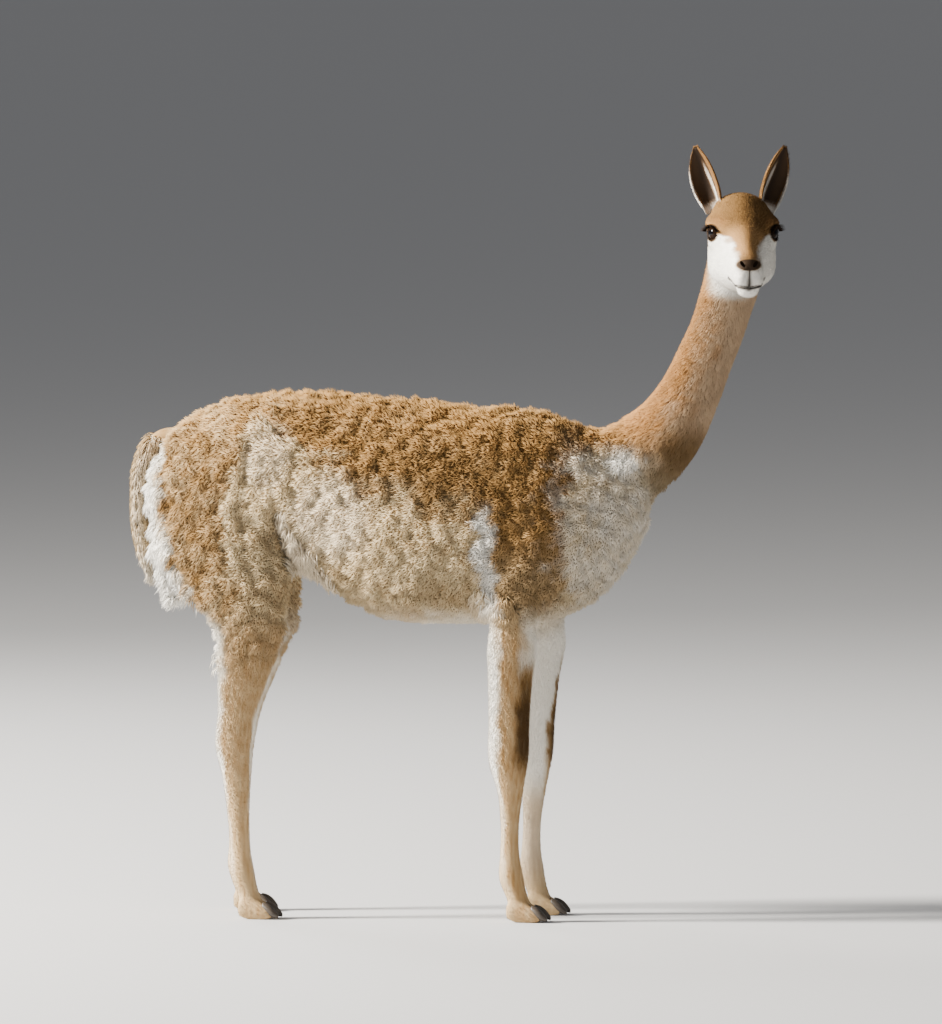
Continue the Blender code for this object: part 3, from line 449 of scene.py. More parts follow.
def body_form(voxel=0.0042):
    pieces = [torso_form(), tube("neck_form", NECK)]
    pieces += [ball("rump", mirrored(RUMP_WOOL_AT, side), RUMP_WOOL_SIZE) for _, side in SIDES]
    for name in LEGS:
        pieces.append(tube(name + "_form", leg_stations(name), 72, 24))
        pieces += [loft(name + "_toe", toe_rings(TOE, foot_place(name), side, 20)) for side in (-1, 1)]
    body = fused(joined("body_form", pieces), voxel)

    def trunk_only(points):
        return 0.5 * step(0.44, 0.58, points[:, 2]) * (1 - 0.8 * step(0.90, 1.0, points[:, 2]))

    def neck_root(points):
        return 0.5 * step(NECK_ROOT_REACH, 0.4 * NECK_ROOT_REACH, distance(points, NECK_ROOT))

    relaxed(body, 0.5, 3)
    relaxed(body, trunk_only, 28)
    relaxed(body, neck_root, 120)
    return body


body = body_form()
print("body, faces:", len(body.data.polygons))

# %% [markdown]
# The head, fused at 2 mm. Brow ridges, lips and chin are soft balls melted into the skull, the sockets are
# pressed in, and the lids are shells over the eyeballs that an almond-shaped cutter opens. The mouth, the
# cleft of the lip and the nostrils are cut last, so that their edges stay crisp.

# %% The head


def head_rings(ring_count=60, ring_points=40):
    places = np.linspace(HEAD[0, 0], HEAD[-1, 0], ring_count)
    read = smooth_through(HEAD[:, 0], HEAD[:, 1:], places)
    knots = np.arange(-2, 11)
    turn = np.linspace(0, 8, ring_points, endpoint=False)
    rings = []
    for x, (top, bottom, *half) in zip(places, read):
        pairs = list(zip(half[::2], half[1::2]))
        looped = [(0, top), *pairs, (0, bottom), *[(-y, z) for y, z in pairs[::-1]]]
        ring = smooth_through(knots, np.array(looped)[knots % 8], turn)
        rings.append(np.column_stack([np.full(ring_points, x), ring]))
    return rings


def to_head(points):
    """Points in the head's own frame."""
    return (points - np.array(EYES_MIDDLE)) @ np.array(HEAD_FRAME.to_3x3())


def gaze_of(side):
    return mirrored(EYE_GAZE, side).normalized()


def eye_axes(side):
    """The line of sight, the level axis across it and the axis square to both."""
    gaze = gaze_of(side)
    level = Vector((0, 0, 1)).cross(gaze).normalized()
    return gaze, level, gaze.cross(level)


def almond(turn):
    """A point of the open lids' outline."""
    return LID_OPENING[0] * math.cos(turn), LID_OPENING[1] * math.sin(turn) * (1 - 0.30 * abs(math.cos(turn)))


def lid_opening(side, count=32):
    gaze, level, rise = eye_axes(side)
    centre = mirrored(EYE_AT, side)
    outline = [almond(2 * math.pi * i / count) for i in range(count)]
    rings = [
        np.array([centre + gaze * depth + level * (w * grow) + rise * (h * grow) for w, h in outline])
        for depth, grow in LID_EDGES
    ]
    made = loft("lid_opening", rings)
    made.data.transform(HEAD_FRAME)
    return made


def swept_blade(name, path, outs, half_width, depth, above=0.006):
    """A thin wedge along a path on the skin, to cut a fold."""
    rings = []
    for here, out, way in zip(path, outs, np.gradient(np.array(path), axis=0)):
        here, out, way = Vector(here), Vector(out).normalized(), Vector(way).normalized()
        edge = out.cross(way).normalized() * half_width * 1.6
        rings.append(np.array([here + out * above + edge, here + out * above - edge, here - out * depth]))
    made = loft(name, rings)
    made.data.transform(HEAD_FRAME)
    return made


def mouth_path(count=41):
    coarse = [*(MOUTH[:-1] * (1, -1, 1)), *MOUTH[::-1]]
    return smooth_through(np.arange(len(coarse)), coarse, np.linspace(0, len(coarse) - 1, count))


def mouth_line():
    path = mouth_path()
    # The blade faces sideways along the cheek and turns forwards at the lips
    outs = [
        (0.2 + 2.2 * max(0.0, (x - 0.112) / 0.026), math.copysign(min(1.0, abs(y) / 0.004), y), 0)
        for x, y, _ in path
    ]
    return swept_blade("mouth_line", path, outs, 0.0011, 0.006)


def lip_cleft():
    return swept_blade("lip_cleft", LIP_CLEFT, [(1.0, 0.0, 0.0)] * 3, 0.0010, 0.005)


def nostril(side):
    turn = Matrix.Rotation(-side * NOSTRIL_SLOPE, 3, "X")
    made = ball("nostril", mirrored(NOSTRIL_AT, side), NOSTRIL_SIZE, turn, 20, 12)
    made.data.transform(HEAD_FRAME)
    return made


def head_form(voxel=0.0020):
    pieces = [loft("skull_form", head_rings()), ball("chin", CHIN_AT, CHIN_SIZE)]
    slope = Matrix.Rotation(BROW_SLOPE, 3, "Y")
    for _, side in SIDES:
        pieces.append(ball("brow", mirrored(BROW_AT, side), BROW_SIZE, slope))
        pieces.append(ball("lip", mirrored(LIP_AT, side), LIP_SIZE))
    for piece in pieces:
        piece.data.transform(HEAD_FRAME)
    head = fused(joined("head_form", pieces + [tube("neck_top", NECK[NECK_TOP:], 32, 32)]), voxel)

    def brow(points):
        return 0.2 + 0.3 * step(0.055, 0.030, to_head(points)[:, 0])

    def nape(points):
        own = to_head(points)
        return 0.5 * step(-0.030, -0.060, own[:, 0]) * step(0.030, 0.0, own[:, 2])

    relaxed(head, brow, 34)
    relaxed(head, nape, 160)
    lids = []
    for _, side in SIDES:
        gaze = HEAD_FRAME.to_3x3() @ gaze_of(side)
        middle = HEAD_FRAME @ mirrored(EYE_AT, side)
        points = mesh_points(head)
        share = bell(distance(points, middle + gaze * EYE_RADIUS), SOCKET_RADIUS)
        set_points(head, points - share[:, None] * np.array(gaze) * SOCKET_DEPTH)
        lids.append(ball("lid", middle, LID_SIZE, gaze.to_track_quat("Y", "Z").to_matrix(), 40, 24))
    head = fused(joined("head_form", [head] + lids), voxel)
    relaxed(head, 0.5, 4)
    return head


head = head_form()
for cutter in [mouth_line(), lip_cleft(), *[cut(side) for _, side in SIDES for cut in (nostril, lid_opening)]]:
    carved(head, cutter)
print("head, faces:", len(head.data.polygons))

# %% [markdown]
# The skin lies under the coat, so it is drawn in by the coat's depth: about 2 cm on the trunk, 1 cm on the
# neck and a few millimetres on the face and the lower legs. The tufts then grow back out to the outline.

# %% Depth of the coat, and the skin
TRUNK_DEPTH = 0.0188
NECK_DEPTH = 0.0085
TAIL_DEPTH = 0.0060
FOOT_DEPTH = 0.0018
LEG_EXTRA = 0.0022
FACE_DEPTH = 0.0014
# The neck begins at a plane: a point on it and the way square to it
BASE_POINT = np.array((0.3115, 0.0, 0.775))
BASE_WAY = unit(np.array((0.62, -0.01, 0.78)))
DRAW_ROUNDS = 4


def neck_centre(heights):
    return np.stack([np.interp(heights, NECK[:, 2], NECK[:, k]) for k in range(3)], axis=1)


def neck_axis(points):
    """The way down the neck, near each point."""
    heights = np.clip(points[:, 2], 0.72, 1.17)
    return unit(neck_centre(heights - 0.01) - neck_centre(heights + 0.01))


def on_neck(points):
    """0 on the trunk, rising to 1 beyond the neck's base."""
    return step(-0.05, 0.06, (points - BASE_POINT) @ BASE_WAY)


def blend(first, second, share):
    return first * (1 - share) + second * share


def leg_top(points, at_hindlegs):
    """The height at which the trunk's coat gives way to the legs' hair."""
    return blend(0.500, at_hindlegs, step(-0.12, -0.22, points[:, 0]))


def body_depth(points):
    """How deep the coat is at points of the body's outline."""
    top = leg_top(points, 0.440)
    leg = FOOT_DEPTH + LEG_EXTRA * step(0.15, 0.42, points[:, 2])
    depth = blend(leg, TRUNK_DEPTH, step(top - 0.06, top + 0.05, points[:, 2]))
    return blend(depth, NECK_DEPTH, on_neck(points))


def head_depth(points):
    """How deep the hair is on the head: short on the face, deeper on the cheeks and the nape."""
    own = to_head(points)
    x, _, z = own.T
    depth = FACE_DEPTH + 0.0028 * step(0.075, 0.020, x)
    depth += 0.0030 * step(0.020, -0.040, x) * step(0.025, -0.02, z)
    depth += 0.0023 * step(-0.02, -0.07, x)
    # Almost none at the eyes and the nostrils: place, least share, where it begins and where it is full
    for place, least, begins, whole in ((EYE_AT, 0.15, 0.019, 0.034), (NOSTRIL_AT, 0.2, 0.006, 0.020)):
        for _, side in SIDES:
            depth *= least + (1 - least) * step(begins, whole, distance(own, mirrored(place, side)))
    return depth


def drawn_in(obj, depth):
    """Moves the surface inwards by a depth at each point, in short steps. Gives back the greatest depth."""
    share = depth(mesh_points(obj))
    for _ in range(DRAW_ROUNDS):
        set_points(obj, mesh_points(obj) - mesh_normals(obj) * (share / DRAW_ROUNDS)[:, None])
    return share.max()


tail = fused(tube("tail_form", TAIL, 40, 24), 0.003)
depths = {"body": drawn_in(body, body_depth), "head": drawn_in(head, head_depth)}
drawn_in(tail, lambda points: np.full(len(points), TAIL_DEPTH))
print("greatest depth of the coat, mm:", {name: round(1000 * depth, 1) for name, depth in depths.items()})

# %% [markdown]
# Vicuna wool stands in small rounded clumps. The skin therefore rises a few millimetres under each clump,
# so that the tufts on it fan out and shade one another, and it dips where the body folds: in front of the
# thigh, down the haunch and behind the shoulder. A fold is a path seen from the side, pressed in on both sides.

# %% Clumps and folds under the wool
GROW = np.random.default_rng(23)
# Small and large clumps: spacing, greatest height
CLUMPS = ((0.0125, 0.0042), (0.0225, 0.0084))
# Paths seen from the side: x, z
FLANK_FOLD = metres((-292, 672), (-284, 632), (-272, 598), (-262, 566))
FLANK_FOLD_DEPTH = 0.020
THIN_FOLDS = (
    metres((-335, 800), (-345, 745), (-338, 690)),
    metres((-385, 725), (-392, 660), (-375, 600)),
    metres((-352, 700), (-352, 640), (-340, 585)),
    metres((-320, 838), (-285, 808), (-240, 800)),
    metres((157, 855), (182, 815), (192, 770)),
)
THIN_FOLD_DEPTH = 0.0050
CELLS_ROUND = [(a, b, c) for a in (-1, 0, 1) for b in (-1, 0, 1) for c in (-1, 0, 1)]


def wobble(points, size, seed):
    """Smooth noise between about -1 and 1: a few waves whose directions and phases a seed draws."""
    draw = np.random.default_rng(seed)
    total = np.zeros(len(points))
    for _ in range(7):
        way = unit(draw.normal(size=3)) * 2 * math.pi / (size * draw.uniform(0.6, 1.6))
        total += np.sin(points @ way + draw.uniform(0, 2 * math.pi))
    return total / 3.5


def waves(points, *parts):
    """Several wobbles added up: size, seed and height of each."""
    return sum(wobble(points, size, seed) * height for size, seed, height in parts)


def path_distance(points, path):
    """How far points are, seen from the side, from a path of straight steps."""
    seen = points[:, [0, 2]]
    nearest = np.full(len(points), 1.0)
    for a, along in zip(path, np.diff(path, axis=0)):
        share = np.clip((seen - a) @ along / (along @ along), 0, 1)
        nearest = np.minimum(nearest, np.linalg.norm(seen - a - share[:, None] * along, axis=1))
    return nearest


def fold_depth(points):
    depth = FLANK_FOLD_DEPTH * bell(path_distance(points, FLANK_FOLD), 0.011)
    for path in THIN_FOLDS:
        depth += THIN_FOLD_DEPTH * bell(path_distance(points, path), 0.0075)
    return depth * step(0.055, 0.085, np.abs(points[:, 1]))


def tree_of(centres):
    tree = KDTree(len(centres))
    for i, centre in enumerate(centres):
        tree.insert(centre, i)
    tree.balance()
    return tree


def nearest_in(tree, points):
    """For each point, the nearest centre's number and how far it is."""
    _, numbers, away = zip(*(tree.find(p) for p in points))
    return np.array(numbers), np.array(away)


def spaced_out(points, spacing):
    """A random choice of the points in which no two stand closer than the spacing."""
    kept, cells = [], {}
    for i in GROW.permutation(len(points)):
        x, y, z = (points[i] // spacing).astype(int).tolist()
        near = (j for a, b, c in CELLS_ROUND for j in cells.get((x + a, y + b, z + c), ()))
        if all(np.linalg.norm(points[i] - points[j]) > spacing for j in near):
            cells.setdefault((x, y, z), []).append(i)
            kept.append(i)
    return np.array(kept)


def wool_share(points):
    """1 on the trunk, where the wool is long, falling to 0 on the neck and the lower legs."""
    edge = leg_top(points, 0.430)
    return step(edge - 0.04, edge + 0.05, points[:, 2]) * (1 - on_neck(points))


def clump_sets_of(obj):
    """For each size of clump: a tree of the middles, each one's own height, and the spacing."""
    points = mesh_points(obj)
    woolly = points[wool_share(points) > 0.01]
    made = []
    for spacing, height in CLUMPS:
        middles = woolly[spaced_out(woolly, spacing)]
        made.append((tree_of(middles), height * GROW.uniform(0.40, 1.0, len(middles)), spacing))
    return made


def clump_rise(points):
    """How far clumps lift the skin: domes of uneven size, whose outlines a slow wave bends."""
    waved = points + 0.0045 * np.stack([wobble(points, 0.028, 51 + k) for k in range(3)], axis=1)
    total = np.zeros(len(points))
    for tree, heights, spacing in clump_sets:
        numbers, away = nearest_in(tree, waved)
        total += heights[numbers] * (1 - np.clip(away / (0.72 * spacing), 0, 1) ** 2)
    return total


clump_sets = clump_sets_of(body)
points, normals = mesh_points(body), mesh_normals(body)
rise = wool_share(points) * (clump_rise(points) + 0.0030 * wobble(points, 0.085, 22))
set_points(body, points + normals * (rise - fold_depth(points))[:, None])
print("wool clumps:", [len(heights) for _, heights, _ in clump_sets])

# %% [markdown]
# Some masks also hold painted shade: darker low on the trunk, in its folds, at the neck's root, round the eyes and
# along the top of the head.
# The markings, as soft masks over the animal's own places rather than a painted image. The side has a
# cinnamon back that ends above the flank, a pale flank and belly, a brown shoulder with a white stripe
# behind it, an orange neck, and white at the chest, the rump, the chin and the inner legs.
# The skin and every tuft read the same masks, so a marking runs through hair and skin alike.
# Most masks are a soft step along x or z, a patch at a place, or an edge read from a table.

# %% Edges and patches of the markings
# Seen from the side, the lower edge of the cinnamon back: x, z
SADDLE_EDGE = metres(
    (-560, 500), (-500, 460), (-440, 430), (-410, 460), (-385, 570), (-365, 720), (-335, 815),
    (-295, 825), (-250, 795), (-200, 755), (-144, 708), (-50, 685), (30, 690), (56, 660),
    (75, 500), (160, 500), (185, 600), (205, 780), (235, 810), (300, 790),
)
# The front edge of the white rump: z, x
RUMP_EDGE = metres(
    (400, -385), (450, -400), (500, -422), (550, -446), (600, -470), (650, -483), (700, -487),
    (750, -492), (790, -506), (820, -600),
)
# Patches on both sides: centre, half sizes. The saddle, elbow, groin and neck root patches place painted shade
PATCHES = {
    "thigh": metres((-378, 140, 520), (60, 140, 90)),
    "saddle": metres((-20, 140, 735), (200, 120, 75)),
    "hip": metres((-305, 140, 775), (55, 100, 85)),
    "flank": metres((-200, 160, 670), (95, 120, 100)),
    "elbow": metres((130, 120, 550), (70, 120, 60)),
    "groin": metres((-325, 140, 610), (45, 120, 120)),
    "neck root": metres((372, 0, 740), (90, 150, 120)),
    "shoulder": metres((276, 90, 776), (54, 120, 62)),
}
# Along the legs: height, middle of the leg
FORE_AXIS = metres((20, 112), (110, 93), (270, 91), (560, 100))
HIND_AXIS = metres((20, -340), (110, -360), (290, -372), (460, -348), (600, -375))
# Round the legs, counted from the outside towards the front: height in m, degrees
TAN_TO = ((0.25, 120.0), (0.33, 90.0), (0.40, 60.0), (0.52, 48.0))
STRIPE_AT = 68
STRIPE_HALF = ((0.24, 14.0), (0.27, 34.0), (0.31, 38.0), (0.36, 32.0), (0.43, 22.0), (0.50, 14.0))
# In the head's frame: height, half width of the gold on the face; and x, lowest gold on the cheek
GOLD_HALF = metres((-60, 17.5), (-45, 16.5), (-20, 19), (-6, 30), (4, 56), (20, 90))
GOLD_FROM = metres((-110, -50), (-30, -16), (10, -4), (30, -2))
# The mouth lies on the tips of the coat, this far above the skin
MOUTH_LIFT = 0.0030
MASKS = ("cinnamon", "white", "dark", "orange")


def read_along(table, places):
    table = np.array(table)
    return np.interp(places, table[:, 0], table[:, 1])


def patch(points, name):
    """1 at a patch's centre, falling to 0 at an ellipsoid round it, on both sides of the animal."""
    centre, sizes = PATCHES[name]
    folded = np.column_stack([points[:, 0], np.abs(points[:, 1]), points[:, 2]])
    return step(1.0, 0.45, np.linalg.norm((folded - centre) / sizes, axis=1))


print("patches:", ", ".join(PATCHES))

# %% Masks of the markings


def leg_masks(points):
    """Markings round a leg: white behind and inside, tan outside, and a dark front above the knee."""
    x, y, z = points.T
    fore, far = x > -0.05, y > 0
    down = np.clip((0.70 - z) / 0.68, 0, 1)
    shift = np.where(fore & far, 0.026 - 0.020 * down, np.where(far, -0.006 - 0.034 * down, 0.0))
    axis_x = np.where(fore, read_along(FORE_AXIS, z), read_along(HIND_AXIS, z))
    axis_y = np.where(fore, 0.083, 0.089)
    turn = np.degrees(np.arctan2(x - axis_x - shift, np.abs(y) - axis_y))
    turn = turn + 10 * wobble(points, 0.05, 31) + 5 * wobble(points, 0.018, 32)
    tan_from = np.where(fore, -38.0, -58.0)
    tan_to = np.where(fore, read_along(TAN_TO, z), 98.0)
    tan = step(tan_from - 20, tan_from + 20, turn) * step(tan_to + 24, tan_to - 24, turn)
    tan = np.maximum(tan, 0.75 * step(0.25, 0.18, z))
    half = read_along(STRIPE_HALF, z)
    dark = step(half + 20, half - 16, np.abs(turn - STRIPE_AT)) * step(0.230, 0.285, z) * step(0.47, 0.35, z) * fore
    tan = np.maximum(tan, step(0.0, 0.4, dark))
    streak = wobble(points * np.array((1.0, 1.0, 0.16)), 0.0075, 33)
    return {
        "cinnamon": np.clip(np.where(fore, 0.62, 0.54) * tan * (1 + 0.34 * streak) + 0.4 * dark, 0, 1),
        "white": 0.92 * (1 - tan) * (1 - step(0.12, 0.02, z)),
        "dark": 0.80 * dark,
        "orange": 0.20 * tan,
    }


def trunk_masks(points, wave):
    """Cinnamon and white of the trunk, and its painted shade."""
    x, _, z = points.T
    slow = wobble(points, 0.20, 10) * 0.014
    mottle = waves(points, (0.05, 9, 1), (0.017, 11, 1))
    cinnamon = step(-0.040, 0.040, z - read_along(SADDLE_EDGE, x + 0.7 * wave + slow) + wave)
    cinnamon *= (1 - step(-0.33, -0.39, x) * (0.18 + 0.10 * mottle)) * (1 - 0.07 * mottle.clip(0, 1))
    # A mottled tint of the flank, more towards the chest, and lower down painted shade: browner towards the belly
    flank_tint_and_low_shade = 0.17 + 0.15 * mottle + 0.08 * step(0.15, 0.24, x) + 0.10 * step(0.60, 0.52, z)
    cinnamon = np.clip(np.maximum(cinnamon, flank_tint_and_low_shade), 0, 1)
    cinnamon = np.maximum(cinnamon, (0.62 + 0.16 * mottle) * patch(points, "thigh"))
    # Lower down the shoulder fades
    cinnamon *= 1 - 0.30 * step(0.66, 0.56, z) * step(0.04, 0.09, x)
    rump = step(0.010, -0.010, x - read_along(RUMP_EDGE, z) + 0.5 * wave)
    stripe = step(0.022, 0.006, np.abs(x - 0.064 + 0.5 * wave)) * step(0.50, 0.55, z) * step(0.71, 0.66, z)
    chest = step(0.15, 0.25, x + 2 * wave) * step(0.83, 0.76, z + wave) * (0.52 + 0.12 * mottle)
    pale = [0.16 * patch(points, "hip"), 0.20 * patch(points, "flank"), 0.95 * stripe, rump, chest]
    # Painted shade: on the side under the saddle, low on the trunk ahead of the hind legs, at the elbow and in front
    # of the thigh
    shaded = [
        0.22 * patch(points, "saddle"),
        0.18 * step(0.66, 0.50, z) * step(-0.30, -0.2, x),
        0.16 * patch(points, "elbow"),
        0.15 * patch(points, "groin"),
    ]
    return cinnamon * (1 - rump), np.maximum.reduce(pale), np.maximum.reduce(shaded)


def body_masks(points):
    x, y, z = points.T
    wave = waves(points, (0.11, 5, 0.012), (0.035, 6, 0.014), (0.016, 7, 0.010))
    leg, found = step(0.54, 0.46, z + 0.5 * wave), leg_masks(points)
    trunk = zip(MASKS, trunk_masks(points, wave))
    cinnamon, white, dark = (blend(value, found[name], leg) for name, value in trunk)
    nape = step(0.085, 0.050, np.abs(y) + wave) * step(0.77, 0.80, z) * step(0.18, 0.22, x)
    cinnamon = np.maximum(cinnamon, nape)
    white = white * (1 - nape)
    # The neck: orange at the nape and sides, with pale streaks to the front
    neck, way = on_neck(points), neck_axis(points)
    front_way = unit(np.cross(np.array([0.0, 1.0, 0.0]), way))
    front_way *= np.where(front_way[:, :1] < 0, -1.0, 1.0)
    facing = np.sum((points - neck_centre(z)) * front_way, axis=1)
    streak = wobble(points - way * (0.86 * np.sum(points * way, axis=1, keepdims=True)), 0.016, 12)
    paler = step(-0.030, 0.034, facing + 0.012 * streak + 0.012 * step(0.90, 1.03, z))
    orange = np.maximum(neck * (1 - 0.55 * paler), 0.55 * step(0.17, 0.30, x) * step(0.76, 0.82, z))
    orange = np.maximum(orange * (1 - leg), found["orange"] * leg)
    cinnamon = blend(cinnamon, 1 - 0.42 * paler - 0.12 * streak.clip(0, 1), neck)
    white = white * (1 - neck) + neck * 0.16 * paler
    # Painted shade where it leaves the chest, and white beside it at the front of the shoulder
    neck_root_shade = patch(points, "neck root") * step(0.285, 0.350, x + wave)
    jitter = 1.2 * np.stack([wave, np.zeros(len(wave)), wobble(points, 0.022, 13) * 0.012], axis=1)
    shoulder = patch(points + jitter, "shoulder") * (1 - neck_root_shade) * (1 - nape)
    white = np.maximum(white * (1 - neck_root_shade), 0.95 * shoulder)
    # Painted shade in the flank's fold
    fold = bell(path_distance(points, FLANK_FOLD), 0.008) * step(0.07, 0.09, np.abs(y))
    dark = np.maximum.reduce([dark, 0.58 * neck_root_shade, 0.88 * fold])
    return {"cinnamon": np.clip(cinnamon, 0, 1), "white": white, "dark": dark, "orange": np.clip(orange, 0, 1)}


def bare_nose(own):
    """The bare pad round the nostrils, and the cleft below it that runs to the mouth."""
    x, y, z = own.T
    pad = step(1.30, 0.70, np.hypot(y / 0.0185, (z + 0.0490) / 0.0088)) * step(0.096, 0.108, x)
    width = 0.0032 + 0.0030 * step(-0.066, -0.082, z)
    cleft = bell(y, width) * step(0.082, 0.094, x) * step(-0.046, -0.054, z) * step(-0.096, -0.090, z)
    return pad, cleft


def mouth_distance(own):
    """How far points are from the line of the mouth."""
    near = (np.abs(own[:, 2] + 0.075) < 0.035) & (own[:, 0] > 0.03)
    found = np.ones(len(own))
    if near.any():
        found[near] = np.maximum(nearest_in(tree_of(mouth_path()), own[near])[1] - MOUTH_LIFT, 0.0)
    return found


def from_opening(own):
    """How far points are from the nearer eye's opening: 1 at the lids' edges, and large behind the eye."""
    found = np.full(len(own), 9.0)
    for _, side in SIDES:
        away = own - np.array(mirrored(EYE_AT, side))
        ahead, level, rise = (away @ np.array(axis) for axis in eye_axes(side))
        size = np.hypot(level / LID_OPENING[0], rise / LID_OPENING[1])
        found = np.minimum(found, size + 9.0 * step(0.006, 0.0, ahead))
    return found


def spots(own, place, sizes):
    """A soft spot at a place on each side of the head, to add up."""
    away = (own - np.array(mirrored(place, side)) for _, side in SIDES)
    return sum(np.exp(-np.sum((a / sizes) ** 2, axis=1)) for a in away)


def head_masks(points):
    own = to_head(points)
    x, y, z = own.T
    side_y = np.abs(y)
    wave = waves(own, (0.030, 8, 0.0030), (0.010, 9, 0.0022))
    # Golden over the forehead, narrowing down the bridge of the nose; cheeks, lips, chin and throat are white
    golden = step(0.007, -0.007, side_y - read_along(GOLD_HALF, z) + wave) * step(-0.062, -0.046, z + wave)
    golden = blend(golden, step(-0.009, 0.009, z - read_along(GOLD_FROM, x) + wave), step(0.030, 0.008, x))
    behind = step(-0.035, -0.075, x)
    bridge = golden * step(0.030, 0.055, x)
    brow = spots(own, (0.014, 0.046, 0.018), (0.022, 0.016, 0.010))
    # A dark ring round the eye's opening: the bare dark lids, and painted shade under the brow
    rim = bell(np.maximum(from_opening(own) - 1.12, 0), 0.20)
    pad, cleft = bare_nose(own)
    white = np.maximum((1 - golden) * (1 - behind), 0.9 * step(-0.080, -0.090, z) * step(-0.06, -0.02, x))
    white = white * (1 - np.clip(1.2 * brow, 0, 1)) * (1 - step(0.02, 0.50, rim)) * (1 - step(0.05, 0.35, pad))
    lips = (0.26 + 0.10 * wobble(own, 0.008, 16)) * np.exp(-((y / 0.020) ** 2 + ((z + 0.076) / 0.017) ** 2))
    shade = golden * (1 - bridge) * (0.33 + 0.08 * wobble(own, 0.012, 15))
    dark = np.maximum.reduce([
        rim,
        0.55 * spots(own, (0.022, 0.034, -0.009), (0.010, 0.008, 0.007)),
        0.98 * spots(own, NOSTRIL_AT, (0.018, 0.0098, 0.0104)),
        0.97 * step(0.0, 0.5, pad),
        0.94 * cleft,
        0.94 * bell(mouth_distance(own), 0.0014 + 0.0014 * step(0.020, 0.008, side_y)),
        lips * step(0.085, 0.105, x),
        # Painted shade: a dark band along the top of the head, from between the ears back
        0.50 * (bell(z - 0.068, 0.007) * step(0.040, 0.028, side_y) * step(-0.015, -0.035, x)),
        0.16 * brow,
        shade * step(-0.075, -0.045, x),
    ])
    orange = 0.25 * golden + 0.75 * brow + 0.3 * bridge + 0.65 * golden * behind
    return {
        "cinnamon": 1 - 0.14 * bridge,
        "white": white,
        "dark": np.clip(dark, 0, 1),
        "orange": np.clip(orange, 0, 1),
    }


def masks_at(points):
    """The head's masks above the throat, and the body's below it, with a short blend along the neck."""
    own = to_head(points)
    near_head = step(-0.116, -0.098, own[:, 2] + 0.25 * np.minimum(own[:, 0] + 0.02, 0))
    near_head *= step(0.95, 1.00, points[:, 2])
    near_head *= np.maximum(step(-0.085, -0.040, own[:, 0]), step(-0.005, 0.045, own[:, 2]))
    found = body_masks(points)
    inside = near_head > 0
    if inside.any():
        for name, values in head_masks(points[inside]).items():
            found[name][inside] = blend(found[name][inside], values, near_head[inside])
    return found


def write_value(mesh, name, values):
    attribute = mesh.attributes.get(name) or mesh.attributes.new(name, "FLOAT", "POINT")
    attribute.data.foreach_set("value", values.astype(np.float32))


print("masks:", ", ".join(MASKS))

# %% [markdown]
# Materials are networks of nodes, but sums of sockets read better as Python. The class below wraps one
# socket and turns +, -, * and the reflected forms into Math nodes. Colours are mixed by a Mix node.

# %% A small language for shader maths


class Socket:
    """One output socket of a material's network, with operators that add Math nodes."""

    def __init__(self, tree, socket):
        self.tree = tree
        self.socket = socket

    def _math(self, operation, first, second):
        return node(self.tree, "ShaderNodeMath", {"operation": operation}, {0: first, 1: second})

    def __add__(self, other):
        return self._math("ADD", self, other)

    def __radd__(self, other):
        return self._math("ADD", other, self)

    def __sub__(self, other):
        return self._math("SUBTRACT", self, other)

    def __rsub__(self, other):
        return self._math("SUBTRACT", other, self)

    def __mul__(self, other):
        return self._math("MULTIPLY", self, other)

    def __rmul__(self, other):
        return self._math("MULTIPLY", other, self)


def node(tree, kind, settings=None, values=None, output=0):
    """Adds a node: its settings first, then a value or a link for each named or numbered input."""
    made = tree.nodes.new(kind)
    for name, value in (settings or {}).items():
        setattr(made, name, value)
    for name, value in (values or {}).items():
        if isinstance(value, Socket):
            tree.links.new(value.socket, made.inputs[name])
        else:
            made.inputs[name].default_value = value
    return Socket(tree, made.outputs[output])


def mix(tree, share, first, second, blend="MIX"):
    """A colour between two others, or one multiplied by the other."""
    first = (*first, 1.0) if isinstance(first, tuple) else first
    second = (*second, 1.0) if isinstance(second, tuple) else second
    settings = {"data_type": "RGBA", "blend_type": blend, "clamp_factor": True}
    return node(tree, "ShaderNodeMix", settings, {0: share, 6: first, 7: second}, 2)


def attribute(tree, name):
    return node(tree, "ShaderNodeAttribute", {"attribute_name": name}, {}, 2)


def finish_material(name, **constants):
    """A new material and its main shader, with constant values set on the shader's own sockets."""
    made = bpy.data.materials.new(name)
    made.use_nodes = True
    shader = made.node_tree.nodes["Principled BSDF"]
    for socket, value in constants.items():
        shader.inputs[socket.replace("_", " ")].default_value = value
    return made, made.node_tree, shader


def feed(tree, value, shader, socket):
    tree.links.new(value.socket, shader.inputs[socket])


# %% [markdown]
# The coat's colours. The masks choose among five colours, `along` is 0 at a tuft's root, which lies in
# shade, and 1 at its tip, and `tone` is one number for each tuft, because each lock is a little lighter or
# darker than the next; on the trunk's clumps it also holds painted shade, darker in the gaps and lighter on
# the tops. One function turns any shade into a grey that darkens the colour.

# %% Coat and skin finishes
PALE = (0.71, 0.56, 0.34)
CINNAMON = (0.310, 0.174, 0.059)
ORANGE = (0.400, 0.200, 0.068)
WHITE = (0.94, 0.91, 0.84)
DARK = (0.020, 0.011, 0.006)


def marking_colour(tree, shade):
    """The colour that the masks choose, times a shade."""
    colour = PALE
    for mask, other in (("cinnamon", CINNAMON), ("orange", ORANGE), ("white", WHITE), ("dark", DARK)):
        colour = mix(tree, attribute(tree, mask), colour, other)
    grey = node(tree, "ShaderNodeCombineColor", {}, {0: shade, 1: shade, 2: shade})
    return mix(tree, 1.0, colour, grey, "MULTIPLY")


